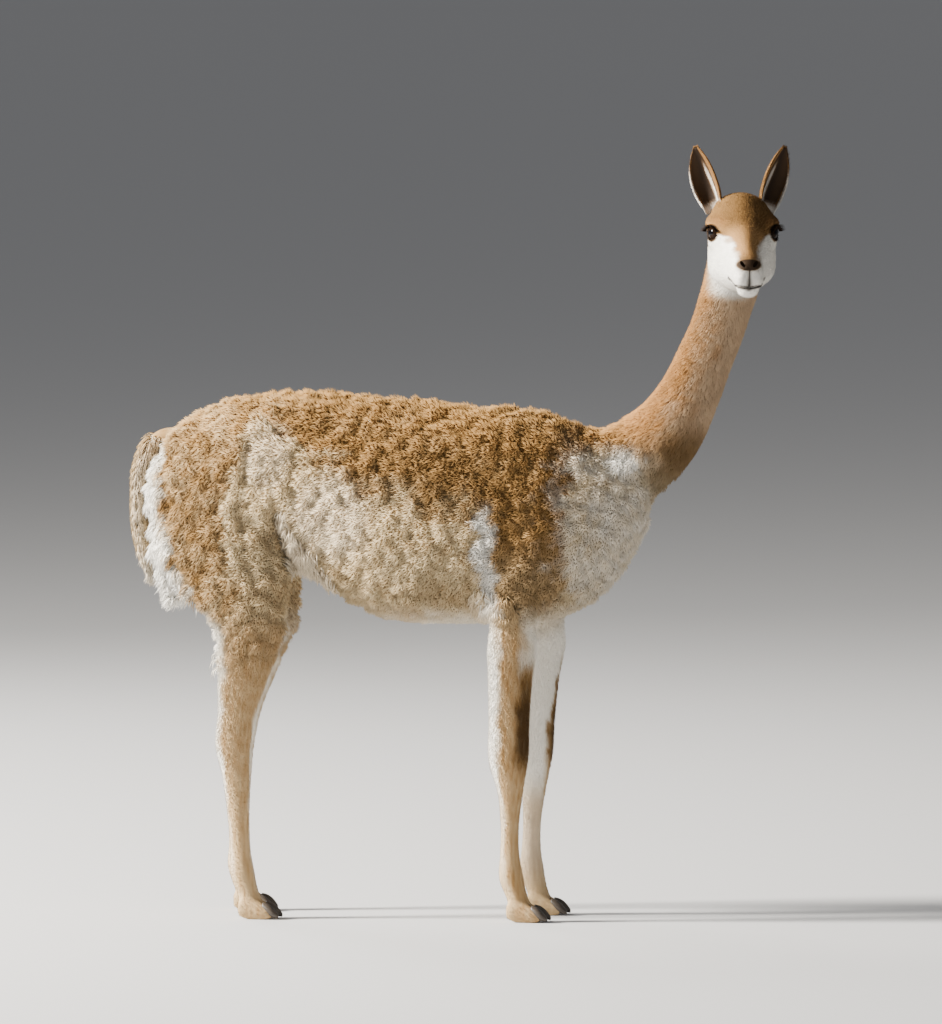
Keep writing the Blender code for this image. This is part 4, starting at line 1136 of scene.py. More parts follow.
def noise(tree, scale, detail, place=None):
    vector = {} if place is None else {"Vector": place}
    return node(tree, "ShaderNodeTexNoise", {}, {**vector, "Scale": scale, "Detail": detail})


def bumped(tree, shader, height, strength, distance_m):
    """Lets a height raise fine relief."""
    values = {"Height": height, "Strength": strength, "Distance": distance_m}
    feed(tree, node(tree, "ShaderNodeBump", {}, values), shader, "Normal")


def coat_material(name, root_shade, tone_range):
    made, tree, shader = finish_material(name, Roughness=0.90, Specular_IOR_Level=0.08)
    # Roots lie in shade, and more so under cinnamon wool than under pale wool
    root = root_shade - attribute(tree, "cinnamon") * (0.5 * (1.0 - root_shade))
    tone = attribute(tree, "tone")
    shade = root + attribute(tree, "along") * (1.0 - root)
    shade = shade * (1.0 - tone_range + tone * (1.4 * tone_range))
    feed(tree, marking_colour(tree, shade), shader, "Base Color")
    return made


def skin_material():
    made, tree, shader = finish_material("skin", Specular_IOR_Level=0.12)
    place = node(tree, "ShaderNodeNewGeometry")
    fine, coarse = noise(tree, 900.0, 4.0, place), noise(tree, 60.0, 3.0, place)
    feed(tree, marking_colour(tree, 0.74 + coarse * 0.20 + fine * 0.10), shader, "Base Color")
    feed(tree, 0.55 + fine * 0.30, shader, "Roughness")
    bumped(tree, shader, fine, 0.5, 0.0006)
    return made


wool = coat_material("wool", 0.80, 0.30)
hair = coat_material("short_hair", 0.90, 0.12)
skin_finish = skin_material()
print("materials:", [m.name for m in (wool, hair, skin_finish)])

# %% [markdown]
# One skin for the trunk, neck, legs, head and tail. It stands for those solids, which stay for collision.

# %% Join the skin


def trimmed(obj, keep):
    """Drops the points that fail the test, and their faces."""
    work = bmesh.new()
    work.from_mesh(obj.data)
    work.verts.ensure_lookup_table()
    fails = np.flatnonzero(~keep(mesh_points(obj)))
    bmesh.ops.delete(work, geom=[work.verts[i] for i in fails], context="VERTS")
    work.to_mesh(obj.data)
    work.free()


def copy_of(obj, name):
    return linked(name, obj.data.copy())


def moved_into_part(obj):
    obj.data.transform(Matrix.Translation(SHIFT))
    return obj


def smooth_shaded(obj):
    obj.data.polygons.foreach_set("use_smooth", np.ones(len(obj.data.polygons), bool))
    return obj


# The body's mesh and the head's overlap a little where they meet, inside the neck
JOIN_HEIGHT = 1.045
OVERLAP = 0.015
trimmed(body, lambda p: p[:, 2] < JOIN_HEIGHT + OVERLAP)
trimmed(head, lambda p: p[:, 2] > JOIN_HEIGHT - OVERLAP)
skin = joined("skin", [copy_of(body, "a"), copy_of(head, "b"), copy_of(tail, "c")])
for name, values in masks_at(mesh_points(skin)).items():
    write_value(skin.data, name, values)
skin.data.materials.append(skin_finish)
smooth_shaded(moved_into_part(skin))
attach(skin, "root")
FLESH = [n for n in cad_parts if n.startswith(("torso", "neck", "head", "foreleg", "hindleg", "tail"))]
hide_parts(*FLESH)
print("skin triangles:", count_triangles(skin), "stands for", len(FLESH), "nodes")

# %% [markdown]
# The eyes: a large dark ball with a glossy clear surface and a wide pupil that lies level, as in all
# camels and their kin. The pupil is a mask on the ball, measured across the line of sight.

# %% Eyes
PUPIL = (0.0068, 0.0038)
IRIS = (0.0118, 0.0118)


def eye_piece(side_name, side):
    gaze, level, _ = (np.array(axis) for axis in eye_axes(side))
    turn = gaze_of(side).to_track_quat("Z", "Y").to_matrix()
    made = ball(f"eyeball_{side_name}", mirrored(EYE_AT, side), (EYE_RADIUS,) * 3, turn, 64, 40)
    own = mesh_points(made) - np.array(mirrored(EYE_AT, side))
    wide, high = own @ level, own @ np.cross(gaze, level)
    for name, (half_width, half_height), outer in (("pupil", PUPIL, 1.15), ("iris", IRIS, 1.10)):
        write_value(made.data, name, step(outer, 0.9, np.hypot(wide / half_width, high / half_height)))
    made.data.transform(HEAD_FRAME)
    return made


def eye_material():
    made, tree, shader = finish_material("wet_eye", Roughness=0.08, Specular_IOR_Level=0.06)
    brown = mix(tree, noise(tree, 420.0, 5.0), (0.006, 0.003, 0.002), (0.016, 0.008, 0.004))
    colour = mix(tree, attribute(tree, "iris"), (0.010, 0.007, 0.006), brown)
    feed(tree, mix(tree, attribute(tree, "pupil"), colour, (0.002, 0.002, 0.003)), shader, "Base Color")
    return made


wet_eye = eye_material()
for side_name, side in SIDES:
    eyeball = smooth_shaded(moved_into_part(eye_piece(side_name, side)))
    eyeball.data.materials.append(wet_eye)
    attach(eyeball, "root")
    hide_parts(f"eye_{side_name}")
print("half sizes of the pupil, mm:", [1000 * v for v in PUPIL])

# %% [markdown]
# Nails: a vicuna walks on soft pads and carries one curved dark nail over the front of each toe.
# They are lofted like the toes, with fine growth lines as bump.

# %% Nails


def nail_material():
    made, tree, shader = finish_material("dark_horn", Specular_IOR_Level=0.45)
    lines = noise(tree, 500.0, 3.0, node(tree, "ShaderNodeNewGeometry"))
    feed(tree, mix(tree, lines, (0.022, 0.017, 0.013), (0.085, 0.066, 0.050)), shader, "Base Color")
    feed(tree, 0.30 + lines * 0.30, shader, "Roughness")
    bumped(tree, shader, lines, 0.4, 0.0004)
    return made


def finer_rows(table, count):
    return smooth_through(table[:, 0], table, np.linspace(table[0, 0], table[-1, 0], count))


horn = nail_material()
for name in LEGS:
    outer = dict(SIDES)[name.split("_")[1]]
    for word, toe_side in (("inner", -outer), ("outer", outer)):
        nail = loft(f"claw_{name}_{word}", toe_rings(finer_rows(NAIL, 12), foot_place(name), toe_side, 20))
        smooth_shaded(moved_into_part(nail)).data.materials.append(horn)
        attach(nail, "root")
        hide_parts(f"nail_{name}_{word}")
print("nails:", 2 * len(LEGS))

# %% [markdown]
# Ears: tall cupped shells. Inside they are dark and almost bare, with a fringe of pale hair along the inner
# edge, and outside they have short reddish hair. One mask says how far inside the cup a point is.

# %% Ears
# Points across the ear's outside, and as many across its inside
EAR_ARC = 25


def ear_piece(side_name, side):
    root, tip = Vector(EAR_ROOT), Vector(EAR_TIP)
    up = (tip - root).normalized()
    faces_way = Vector((math.cos(EAR_FACES), math.sin(EAR_FACES), 0.0))
    faces_way = (faces_way - faces_way.dot(up) * up).normalized()
    across = up.cross(faces_way)
    # The arc runs from the ear's inner edge, at -1, to its outer edge, at 1
    arc = np.linspace(-1, 1, EAR_ARC)
    levels = finer_rows(EAR_LEVELS, 30)
    rings = []
    for share, width, cup in levels:
        half = EAR_HALF_WIDTH * width
        bow = EAR_BOW * math.sin(math.pi * share)
        middle = root.lerp(tip, share) + across * bow - faces_way * bow
        spread = half * np.sin(arc * math.pi / 2)
        depth = half * cup * (1 - arc**2)
        wall = min(EAR_WALL, 0.55 * half)
        inner = zip(spread * (1 - 0.35 * wall / half), depth - wall * (1 - 0.4 * np.abs(arc)))
        outside, inside = (
            [middle + across * float(a) - faces_way * float(d) for a, d in sheet]
            for sheet in (zip(spread, depth), inner)
        )
        rings.append(np.array(outside + inside[::-1]))
    made = loft(f"ear_shell_{side_name}", rings)
    hollow = np.tile(np.repeat([0.0, 1.0], EAR_ARC), len(rings))
    edge = np.tile(np.concatenate([arc, arc[::-1]]), len(rings))
    share = np.repeat(levels[:, 0], 2 * EAR_ARC)
    for name, values in (("hollow", hollow), ("edge", edge), ("share", share)):
        write_value(made.data, name, np.append(values, [values[0], values[-1]]))
    if side < 0:
        made.data.transform(Matrix.Diagonal((1.0, -1.0, 1.0, 1.0)))
        face_outward(made)
    made.data.transform(HEAD_FRAME)
    return made


def read_value(shell, name):
    return fetched(shell.data.attributes[name].data, "value", 1)[:, 0].astype(float)


def places_on_ear(shell):
    """How far inside the cup, across the arc and along the ear each point is."""
    return [read_value(shell, name) for name in ("hollow", "edge", "share")]


def ear_masks(shell):
    """Dark and nearly bare inside, with a pale line of hair, a reddish inner band and a pale outer rim."""
    hollow, edge, share = places_on_ear(shell)
    line = bell(edge + 0.26 - 0.12 * share, 0.075) * step(0.80, 0.50, share) * hollow
    band = step(-0.34, -0.46, edge)
    rim = step(0.84, 0.95, edge) * step(0.72, 0.45, share)
    root = step(0.12, 0.0, share) * hollow
    white = np.clip(0.95 * line + 0.80 * rim + 0.7 * root, 0, 1)
    cup = hollow * (1 - band) * (0.95 + 0.05 * bell(edge + 0.02, 0.30))
    dark = np.maximum.reduce([cup, 0.60 * step(0.80, 0.97, share), 0.55 * band * hollow])
    dark = np.clip(dark * (1 - white), 0, 1)
    ones = np.ones(len(share))
    return {"cinnamon": ones, "white": white, "dark": dark, "orange": 0.8 * ones}


ear_shells = []
for side_name, side in SIDES:
    shell = ear_piece(side_name, side)
    for name, values in ear_masks(shell).items():
        write_value(shell.data, name, values)
    ear_shells.append(copy_of(shell, f"ear_form_{side_name}"))
    smooth_shaded(moved_into_part(shell)).data.materials.append(skin_finish)
    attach(shell, "root")
    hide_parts(f"ear_{side_name}")
print("ears:", [shell.name for shell in ear_shells])

# %% [markdown]
# The lie of the coat: back and down along the trunk, down the legs, the chest and the rump, down the neck,
# and from the nose back over the face. Each tuft starts on the skin and bends over towards its lie.

# %% The lie of the coat


def tangent(vectors, normals):
    return unit(vectors - np.sum(vectors * normals, axis=1, keepdims=True) * normals)


def body_lie(points, normals):
    x, _, z = points.T
    back = np.array((-1.0, 0.0, -0.60))
    down = np.array((-0.12, 0.0, -1.0))
    falls = np.maximum.reduce([step(-0.34, -0.50, x), step(0.16, 0.30, x), step(0.60, 0.47, z)])[:, None]
    way = blend(blend(back, down, falls), neck_axis(points), on_neck(points)[:, None])
    return tangent(way, normals)


def lie_towards(way):
    """A lie that is the same all over."""
    return lambda points, normals: tangent(np.tile(np.array(way), (len(points), 1)), normals)


def head_lie(points, normals):
    own = to_head(points)
    x, y, z = own.T
    # Backwards, out over the cheeks, up over the forehead and the end of the nose, and down at the jaw
    outward = 0.35 * np.sign(y) * step(0.01, 0.04, np.abs(y))
    upward = 0.25 * step(0.0, 0.05, z) - 0.45 * step(0.0, -0.05, z)
    upward += 0.9 * step(0.085, 0.110, x) * step(-0.056, -0.046, z)
    way = np.stack([-np.ones(len(x)), outward, upward], axis=1)
    # Round the eyes it lies away from them
    for _, side in SIDES:
        from_eye = own - np.array(mirrored(EYE_AT, side))
        near = bell(np.linalg.norm(from_eye, axis=1), 0.028)[:, None]
        way = blend(way, 0.5 * way + 0.8 * unit(from_eye), near)
    way = way @ np.array(HEAD_FRAME.to_3x3()).T
    neck = np.maximum(step(-0.035, -0.085, x) * step(0.045, -0.02, z), step(-0.095, -0.125, z))[:, None]
    return tangent(blend(way, neck_axis(points), neck), normals)


print("lie of the coat ready")

# %% [markdown]
# Tufts. Roots are scattered over the skin by area. Nearby tufts share a lock: their tips are drawn to one
# place, which opens the fine partings that make wool look like wool. Each tuft is a closed three-sided
# spike, straight for the fine cover and bent once for long locks, and a whole piece is built at once with
# NumPy, because thousands of objects would be far too slow. A small patch of the map OFBake at its root's
# place lets the colours be baked later.

# %% Scatter and grow
STRAIGHT = ((2, 1, 0), (0, 1, 3), (1, 2, 3), (2, 0, 3))
BENT = ((2, 1, 0), (0, 1, 4, 3), (1, 2, 5, 4), (2, 0, 3, 5), (3, 4, 6), (4, 5, 6), (5, 3, 6))
# Size of a tuft's patch on the map, how deep a root is sunk, and where along a bent tuft its bend lies
PATCH_SIZE = 0.0015
ROOT_SUNK = 0.0015
BEND_ALONG = 0.55
THIRD = 2 * math.pi / 3


def surface_samples(obj, count, density):
    """Points and normals of a surface, drawn by area and a density at each vertex."""
    obj.data.calc_loop_triangles()
    corners = fetched(obj.data.loop_triangles, "vertices", 3, np.int32)
    points, normals = mesh_points(obj), mesh_normals(obj)
    a, b, c = (points[corners[:, k]] for k in range(3))
    area = np.linalg.norm(np.cross(b - a, c - a), axis=1) / 2 * density[corners].mean(axis=1)
    total = np.cumsum(area)
    # Even steps along the running area spread the roots more evenly than free draws would
    picks = (np.arange(count) + GROW.random(count)) / count * total[-1]
    chosen = corners[np.searchsorted(total, picks).clip(0, len(corners) - 1)]
    u, v = GROW.random(count), GROW.random(count)
    over = u + v > 1
    u[over], v[over] = 1 - u[over], 1 - v[over]
    weights = np.stack([1 - u - v, u, v], axis=1)[:, :, None]
    return (points[chosen] * weights).sum(axis=1), unit((normals[chosen] * weights).sum(axis=1))


def spikes(name, path, normal, width, values, unwrap):
    """One mesh of closed three-sided spikes along a path of root and tip, or of root, bend and tip."""
    count, levels = len(path[0]), len(path) - 1
    turns = GROW.random(count) * 2 * math.pi
    rows = []
    for level in range(levels):
        way = unit(path[level + 1] - path[level])
        side = unit(np.cross(way, normal) + 1e-6)
        rise = np.cross(way, side)
        size = (width * (0.5 - 0.08 * level))[:, None]
        for k in range(3):
            angle = (turns + THIRD * k)[:, None]
            rows.append(path[level] + size * (side * np.cos(angle) + 0.7 * rise * np.sin(angle)))
    rows.append(path[-1])
    points = np.stack(rows, axis=1).reshape(-1, 3) + np.array(SHIFT)
    shape = STRAIGHT if levels == 1 else BENT
    corners = len(rows)
    loops = (np.arange(count)[:, None] * corners + np.concatenate(shape)).ravel()
    sizes = np.tile([len(face) for face in shape], count)
    mesh = bpy.data.meshes.new(name)
    mesh.vertices.add(len(points))
    mesh.loops.add(len(loops))
    mesh.polygons.add(len(sizes))
    mesh.vertices.foreach_set("co", points.astype(np.float32).ravel())
    mesh.loops.foreach_set("vertex_index", loops.astype(np.int32))
    mesh.polygons.foreach_set("loop_start", (np.cumsum(sizes) - sizes).astype(np.int32))
    mesh.polygons.foreach_set("loop_total", sizes.astype(np.int32))
    mesh.update(calc_edges=True)
    mesh.polygons.foreach_set("use_smooth", np.ones(len(sizes), bool))
    along = [0.0] * 3 + [BEND_ALONG] * 3 * (levels - 1) + [1.0]
    write_value(mesh, "along", np.tile(along, count))
    for key, value in values.items():
        write_value(mesh, key, np.repeat(value, corners))
    fan = [np.array((math.cos(THIRD * k), math.sin(THIRD * k))) for k in range(3)]
    offsets = [f * PATCH_SIZE * (1 - 0.45 * level) for level in range(levels) for f in fan] + [np.zeros(2)]
    patches = (unwrap(path[0])[:, None, :] + np.array(offsets)[None]).reshape(-1, 2)
    layer = mesh.uv_layers.new(name="OFBake")
    layer.data.foreach_set("uv", patches[loops].astype(np.float32).ravel())
    return linked(name, mesh)


def grown(name, roots, rise, reach, width, centres, pull, look, bent=False, stray=0.10, painted_clump_shade=None, stretch=1.0):
    """A coat piece: a tuft from each root, its tip drawn towards the tip of its lock."""
    place, normal, lie = roots
    unwrap, finish, slot_name, masks = look
    count = len(place)
    size = GROW.uniform(0.80, 1.15, count)
    rise, reach = (rise * size)[:, None], (reach * size)[:, None]
    lie = tangent(lie + GROW.normal(size=(count, 3)) * stray, normal)
    free = place + normal * rise + lie * reach
    # Squeezed upright before the search, so that locks are longer than they are wide
    squeeze = np.array((1.0, 1.0, 1.0 / stretch))
    own = nearest_in(tree_of(centres * squeeze), place * squeeze)[0]
    # A lock's tip: the mean of its tufts' free tips
    sums = np.stack([np.bincount(own, free[:, k], len(centres)) for k in range(3)], axis=1)
    lock_tip = sums / np.maximum(np.bincount(own, minlength=len(centres)), 1)[:, None]
    tip = blend(free, lock_tip[own], pull)
    root = place - normal * ROOT_SUNK
    bend = place + normal * (0.70 * rise) + lie * (0.38 * reach) + (tip - free) * 0.30
    # Each tuft's tone: a share of its own and one of its lock's, and on clumps the rest is painted shade by the
    # clump's height, darker in the gaps and lighter on the tops
    of_tuft, of_lock = (0.45, 0.55) if painted_clump_shade is None else (0.25, 0.25)
    tone = of_tuft * GROW.random(count) + of_lock * GROW.random(len(centres))[own]
    if painted_clump_shade is not None:
        tone = tone + 0.50 * painted_clump_shade
    path = [root, bend, tip] if bent else [root, tip]
    width = width * GROW.uniform(0.8, 1.2, count)
    made = spikes(name, path, normal, width, {"tone": tone, **masks(place)}, unwrap)
    made.data.materials.append(finish)
    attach(made, "root")
    return made


def on_map(values, low, high):
    """Values from low to high, spread over the map with a margin."""
    return 0.02 + 0.96 * np.clip((values - low) / (high - low), 0, 1)


def share_round(across, up):
    return np.arctan2(across, up) / (2 * math.pi) + 0.5


def trunk_unwrap(points):
    around = share_round(points[:, 1], points[:, 2] - 0.68)
    return np.stack([on_map(points[:, 0], -0.58, 0.50), on_map(around, 0, 1)], axis=1)


def leg_unwrap(points):
    around = share_round(np.abs(points[:, 1]) - 0.085, points[:, 0] - np.where(points[:, 0] > 0, 0.095, -0.365))
    quarter = 2 * (points[:, 1] > 0) + (points[:, 0] > 0)
    return np.stack([(quarter + on_map(around, 0, 1)) / 4, on_map(points[:, 2], 0.0, 0.60)], axis=1)


def head_unwrap(points):
    own = to_head(points)
    around = share_round(own[:, 1], own[:, 2] + 0.02)
    return np.stack([on_map(own[:, 0], -0.15, 0.13), on_map(around, 0, 1)], axis=1)


print("a straight tuft has", len(STRAIGHT), "faces and a bent one", len(BENT))

# %% [markdown]
# The wool of the trunk, the largest job. It is cut into pieces from rump to chest so that each stays small
# enough to bake on its own.

SHARE = 1.0
WIDER = 1.0 / math.sqrt(SHARE)
TRUNK_TUFTS, NECK_TUFTS, LEG_TUFTS, HEAD_TUFTS, EAR_TUFTS = (
    int(n * SHARE) for n in (160000, 44000, 58000, 45000, 6000)
)
TRUNK_PIECES = 4
WOOL_RISE, WOOL_REACH, WOOL_WIDTH = 0.0078, 0.0100, 0.0029
coat = []


def roots_on(obj, count, weight, lie_at):
    place, normal = surface_samples(obj, count, weight(mesh_points(obj)))
    return place, normal, lie_at(place, normal)


def picked(roots, part):
    return tuple(values[part] for values in roots)


def centres_of(roots, spacing):
    """The middles of the locks."""
    return roots[0][spaced_out(roots[0], spacing)]


roots = roots_on(body, TRUNK_TUFTS, lambda p: wool_share(p) ** 0.5, body_lie)
centres = centres_of(roots, 0.0080)
for number, part in enumerate(np.array_split(np.argsort(roots[0][:, 0]), TRUNK_PIECES)):
    own = picked(roots, part)
    long = 0.35 + 0.65 * wool_share(own[0])
    # Each tuft's height on its clump paints shade into its tone
    coat.append(grown(
        f"coat_trunk_{number + 1}", own, WOOL_RISE * long, WOOL_REACH * long, WOOL_WIDTH * WIDER, centres, 0.30,
        (trunk_unwrap, wool, "coat_body", masks_at), stray=0.55, painted_clump_shade=np.clip(clump_rise(own[0]) / 0.0078, 0, 1),
    ))

roots = roots_on(body, NECK_TUFTS, lambda p: on_neck(p) * step(JOIN_HEIGHT + 0.012, JOIN_HEIGHT, p[:, 2]), body_lie)
coat.append(grown(
    "coat_neck", roots, 0.0062, 0.0130, 0.0021 * WIDER, centres_of(roots, 0.0085), 0.24,
    (trunk_unwrap, wool, "coat_neck", masks_at), stray=0.24, stretch=2.2,
))
print("tufts on trunk and neck:", TRUNK_TUFTS + NECK_TUFTS)

# %% [markdown]
# Long locks hang where wool meets bare places: along the flank in front of the thigh, at the elbow, down the
# back of the thighs and under the tail, where they are white, and over the tail itself.

# %% Long locks
# Places seen from the side: x, z, reach
FRINGES = metres(
    (-284, 674, 12), (-274, 640, 20), (-258, 600, 34), (-232, 560, 34),
    (-208, 528, 26), (-184, 512, 22), (50, 535, 26), (90, 525, 24),
)


def fringe_share(points):
    x, y, z = points.T
    shares = [step(reach, 0.4 * reach, np.hypot(x - at_x, z - at_z)) for at_x, at_z, reach in FRINGES]
    return np.maximum.reduce(shares) * step(0.06, 0.09, np.abs(y))


def long_locks(name, obj, count, weight, way, rise, reach, width, spacing, slot_name, masks=masks_at, stray=0.30):
    roots = roots_on(obj, int(count * SHARE), weight, lie_towards(way))
    look = (trunk_unwrap, wool, slot_name, masks)
    centres = centres_of(roots, spacing)
    rise, reach = rise(roots[0]), reach(roots[0])
    coat.append(grown(name, roots, rise, reach, width * WIDER, centres, 0.42, look, bent=True, stray=stray))


def fringe_masks(points):
    """The locks that hang over a fold are paler than its bottom, and keep less of its painted shade."""
    found = masks_at(points)
    found["dark"] = 0.3 * found["dark"]
    found["white"] = np.maximum(found["white"], 0.30 * step(0.08, 0.0, points[:, 0]))
    return found


def rump_share(points):
    x, _, z = points.T
    return step(0.006, -0.008, x - read_along(RUMP_EDGE, z)) * step(0.41, 0.47, z) * step(0.80, 0.76, z)


def tail_masks(points):
    """The tail is pale tan, whiter at its edges and its tip."""
    found = masks_at(points)
    _, y, z = points.T
    mottled = 0.5 + 0.3 * wobble(points, 0.03, 41)
    found["white"] = np.clip(0.25 * step(0.018, 0.032, np.abs(y)) + 0.60 * step(0.64, 0.56, z), 0, 1)
    found["cinnamon"] = np.clip(0.30 + 0.34 * step(0.69, 0.79, z) + 0.3 * (mottled - 0.5), 0, 1)
    found["dark"] = found["orange"] = np.zeros(len(points))
    return found


HANGING = (-0.05, 0.0, -1.0)
long_locks(
    "coat_fringe", body, 6400, fringe_share, HANGING, lambda p: 0.014, lambda p: 0.018 + 0.014 * fringe_share(p),
    0.0025, 0.009, "coat_body", fringe_masks, stray=0.5,
)
long_locks(
    "coat_rump", body, 8500, rump_share, (-0.55, 0.0, -1.0), lambda p: 0.013,
    lambda p: 0.020 + 0.008 * step(0.66, 0.58, p[:, 2]), 0.0026, 0.010, "coat_body",
)
long_locks(
    "coat_tail", tail, 6500, lambda p: step(0.805, 0.785, p[:, 2]), HANGING,
    lambda p: 0.0045 + 0.0045 * step(0.56, 0.64, p[:, 2]), lambda p: 0.022, 0.0026, 0.010, "coat_tail", tail_masks,
)
print("long locks:", [c.name for c in coat[-3:]])

# %% [markdown]
# The legs' hair is short and lies flat. The face has the shortest hair of all, so it needs the finest tufts.
# None grow on the lids' edges, in the nostrils or in the mouth.

# %% Short hair of the legs, head and ears
roots = roots_on(body, LEG_TUFTS, lambda p: step(0.53, 0.45, p[:, 2]) * step(0.004, 0.012, p[:, 2]), body_lie)
centres = centres_of(roots, 0.0065)
for word, part in (("hind", roots[0][:, 0] < -0.05), ("fore", roots[0][:, 0] >= -0.05)):
    own = picked(roots, part)
    high = step(0.10, 0.45, own[0][:, 2])
    coat.append(grown(
        f"coat_{word}legs", own, 0.0010 + 0.0028 * high, 0.0058 + 0.0060 * high, (0.0014 + 0.0006 * high) * WIDER,
        centres, 0.14, (leg_unwrap, hair, "coat_legs", masks_at), stray=0.16, stretch=2.2,
    ))


def face_share(points):
    own = to_head(points)
    keep = step(JOIN_HEIGHT - 0.012, JOIN_HEIGHT, points[:, 2]) * (0.50 + 0.50 * step(-0.09, -0.02, own[:, 0]))
    keep *= step(1.06, 1.22, from_opening(own))
    for _, side in SIDES:
        away = (own - np.array(mirrored(NOSTRIL_AT, side))) / (1, 0.8, 1)
        keep *= step(0.0075, 0.0105, np.linalg.norm(away, axis=1))
    pad, cleft = bare_nose(own)
    return keep * (1 - step(0.2, 0.6, np.maximum(pad, cleft))) * step(0.0008, 0.0030, mouth_distance(own))


roots = roots_on(head, HEAD_TUFTS, face_share, head_lie)
own = to_head(roots[0])
behind = step(0.06, -0.08, own[:, 0]) * step(0.045, 0.0, own[:, 2])
rise = 0.0009 + 0.85 * head_depth(roots[0]) * (0.4 + 0.6 * behind)
coat.append(grown(
    "coat_head", roots, rise, 0.0042 + 0.0065 * behind, (0.0011 + 0.0009 * behind) * WIDER,
    centres_of(roots, 0.0045), 0.25, (head_unwrap, hair, "coat_head", masks_at), stray=0.14,
))


def ear_weight(shell):
    hollow, edge, share = places_on_ear(shell)
    inside = 0.9 * bell(edge + 0.26, 0.14) * step(0.84, 0.56, share) + 0.6 * step(-0.40, -0.6, edge)
    return np.where(hollow > 0.5, inside + 0.8 * step(0.16, 0.04, share), 1.0) * step(0.0, 0.05, share)


for shell, (side_name, side) in zip(ear_shells, SIDES):
    up = np.array(HEAD_FRAME.to_3x3() @ (mirrored(EAR_TIP, side) - mirrored(EAR_ROOT, side)).normalized())
    roots = roots_on(shell, EAR_TUFTS, lambda _: ear_weight(shell), lie_towards(up))
    near = nearest_in(tree_of(mesh_points(shell)), roots[0])[0]
    found = {name: read_value(shell, name)[near] for name in MASKS}
    coat.append(grown(
        f"coat_ear_{side_name}", roots, 0.0010 + 0.0012 * found["white"], 0.0055, 0.0011 * WIDER,
        roots[0][::12], 0.15, (head_unwrap, hair, "coat_head", lambda _: found), stray=0.14,
    ))
    bpy.data.objects.remove(shell, do_unlink=True)
print("coat triangles:", {c.name: count_triangles(c) for c in coat})

# %% [markdown]
# Lashes. A vicuna's upper lashes are long, dark and stand out beyond the brow, and they are the darkest
# thing in the face after the eye itself. Each is one thin curved spike from the upper lid's edge.

# %% Lashes


def lashes(side_name, side, count=60):
    gaze, level, rise = eye_axes(side)
    paths = []
    for turn in np.linspace(math.radians(10), math.radians(170), count):
        wide, high = almond(turn)
        root = mirrored(EYE_AT, side) + gaze * 0.0128 + level * (wide * 1.12) + rise * (high * 1.12)
        long = 0.0135 * (0.65 + 0.35 * math.sin(turn)) * GROW.uniform(0.85, 1.15)
        fan = level * (0.55 * math.cos(turn)) + rise * (0.05 + 0.1 * GROW.random())
        middle = root + (gaze * 0.8 + fan * 0.35) * long * 0.55
        paths.append((root, middle, root + (gaze * 0.95 + fan * 0.9 + rise * 0.02) * long))
    turned = np.array(HEAD_FRAME.to_3x3())
    path = [np.array(v) @ turned.T + np.array(EYES_MIDDLE) for v in zip(*paths)]
    normal = np.tile(np.array(HEAD_FRAME.to_3x3() @ rise), (count, 1))
    masks = {name: np.full(count, float(name == "dark")) for name in MASKS}
    values = {"tone": GROW.random(count), **masks}
    made = spikes(f"lashes_{side_name}", path, normal, np.full(count, 0.0010), values, head_unwrap)
    made.data.materials.append(hair)
    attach(made, "root")


for side_name, side in SIDES:
    lashes(side_name, side)
for obj in (body, head, tail):
    bpy.data.objects.remove(obj, do_unlink=True)

# %% [markdown]
# The studio: a plain pale floor, a pale surround, a large soft light from the upper left, where the sun
# stands in the photograph, and weak light from the right and from behind. The camera looks from a little in
# front of the animal's right side, nearly level and from far away, as a long lens would.

# %% Floor, light and camera
PIXEL = 0.00166
CAMERA_TURN = math.radians(10.0)
CAMERA_RISE = math.radians(3.0)
CAMERA_AWAY = 25.0
IMAGE_HEIGHT = 1024
TARGET_ACROSS = 0.0302
TARGET_UP = 0.677
SENSOR = 36.0
LIGHTS_AIM = Vector((0.0, 0.0, 0.75))
FAR = 400

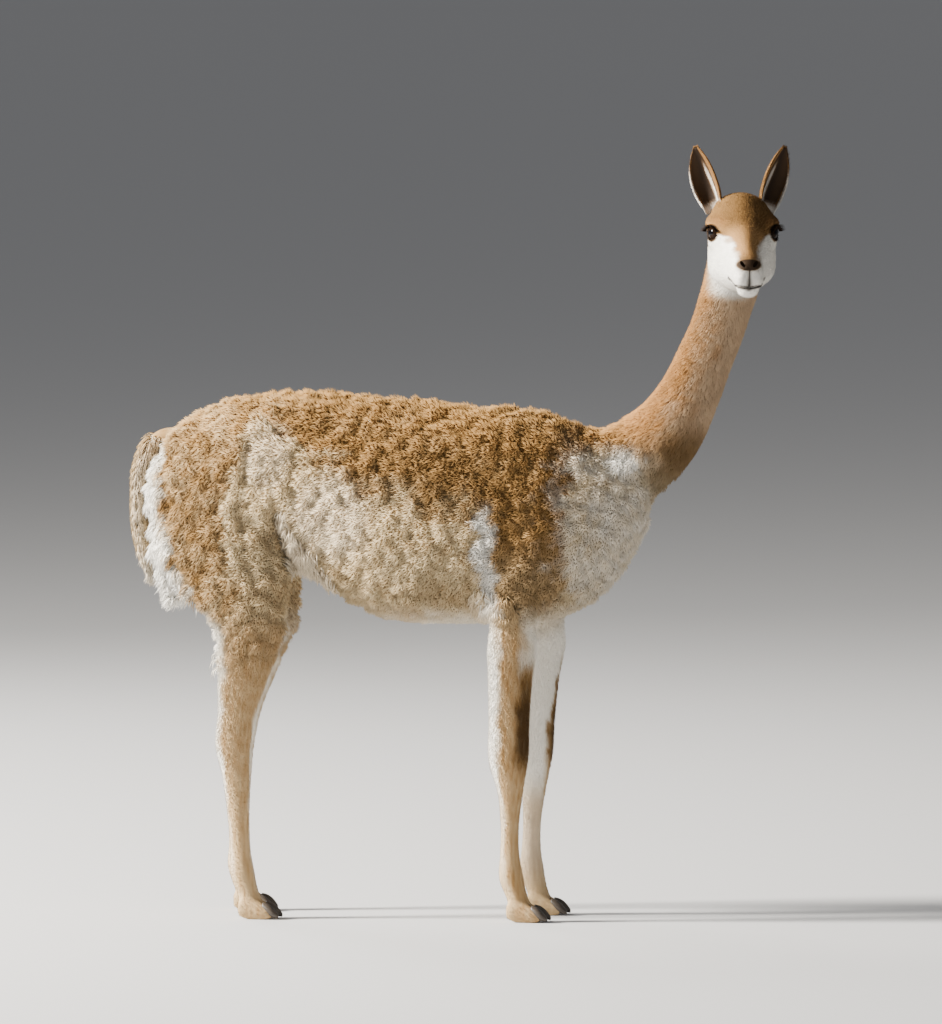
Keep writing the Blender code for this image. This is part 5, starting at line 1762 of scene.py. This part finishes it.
floor = new_object("floor", [(-FAR, -FAR, 0), (FAR, -FAR, 0), (FAR, FAR, 0), (-FAR, FAR, 0)], [(0, 1, 2, 3)])
floor.data.materials.append(finish_material("pale_floor", Roughness=0.9, Base_Color=(0.54, 0.54, 0.55, 1.0))[0])
floor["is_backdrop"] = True

world = bpy.context.scene.world or bpy.data.worlds.new("world")
bpy.context.scene.world = world
world.use_nodes = True
surround = world.node_tree.nodes["Background"].inputs
surround["Color"].default_value = (0.78, 0.79, 0.81, 1.0)
surround["Strength"].default_value = 0.30


def aimed(obj, place, way):
    """Stands a light or a camera at a place and turns it to look one way."""
    obj.location = place
    obj.rotation_mode = "QUATERNION"
    obj.rotation_quaternion = way.to_track_quat("-Z", "Y")


def soft_light(name, place, size, power, colour):
    data = bpy.data.lights.new(name, "AREA")
    data.shape = "DISK"
    data.size = size
    data.energy = power
    data.color = colour
    aimed(linked(name, data), Vector(place), LIGHTS_AIM - Vector(place))


soft_light("key", (-6.9, -1.9, 4.0), 1.7, 4300.0, (1.0, 0.95, 0.86))
soft_light("fill", (2.0, -6.5, 2.2), 4.0, 60.0, (0.90, 0.95, 1.0))
soft_light("back", (-3.5, 4.5, 3.6), 2.4, 260.0, (1.0, 0.97, 0.92))

across = Vector((math.cos(CAMERA_TURN), math.sin(CAMERA_TURN), 0.0))
target = across * TARGET_ACROSS + Vector((0.0, 0.0, TARGET_UP))
level = math.cos(CAMERA_RISE)
back = Vector((math.sin(CAMERA_TURN) * level, -math.cos(CAMERA_TURN) * level, math.sin(CAMERA_RISE)))
lens = bpy.data.cameras.new("camera")
lens.sensor_width = SENSOR
lens.lens = SENSOR * CAMERA_AWAY / (IMAGE_HEIGHT * PIXEL)
lens.clip_end = 200.0
camera = linked("camera", lens)
aimed(camera, target + back * CAMERA_AWAY, -back)
bpy.context.scene.camera = camera
print("lens, mm:", round(lens.lens))

# %% [markdown]
# Last, print the size of the dressed model's box.

# %% Sizes and the end
low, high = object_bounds()
print("dressed model, box in mm:", [round(1000 * (h - l)) for l, h in zip(low, high)])
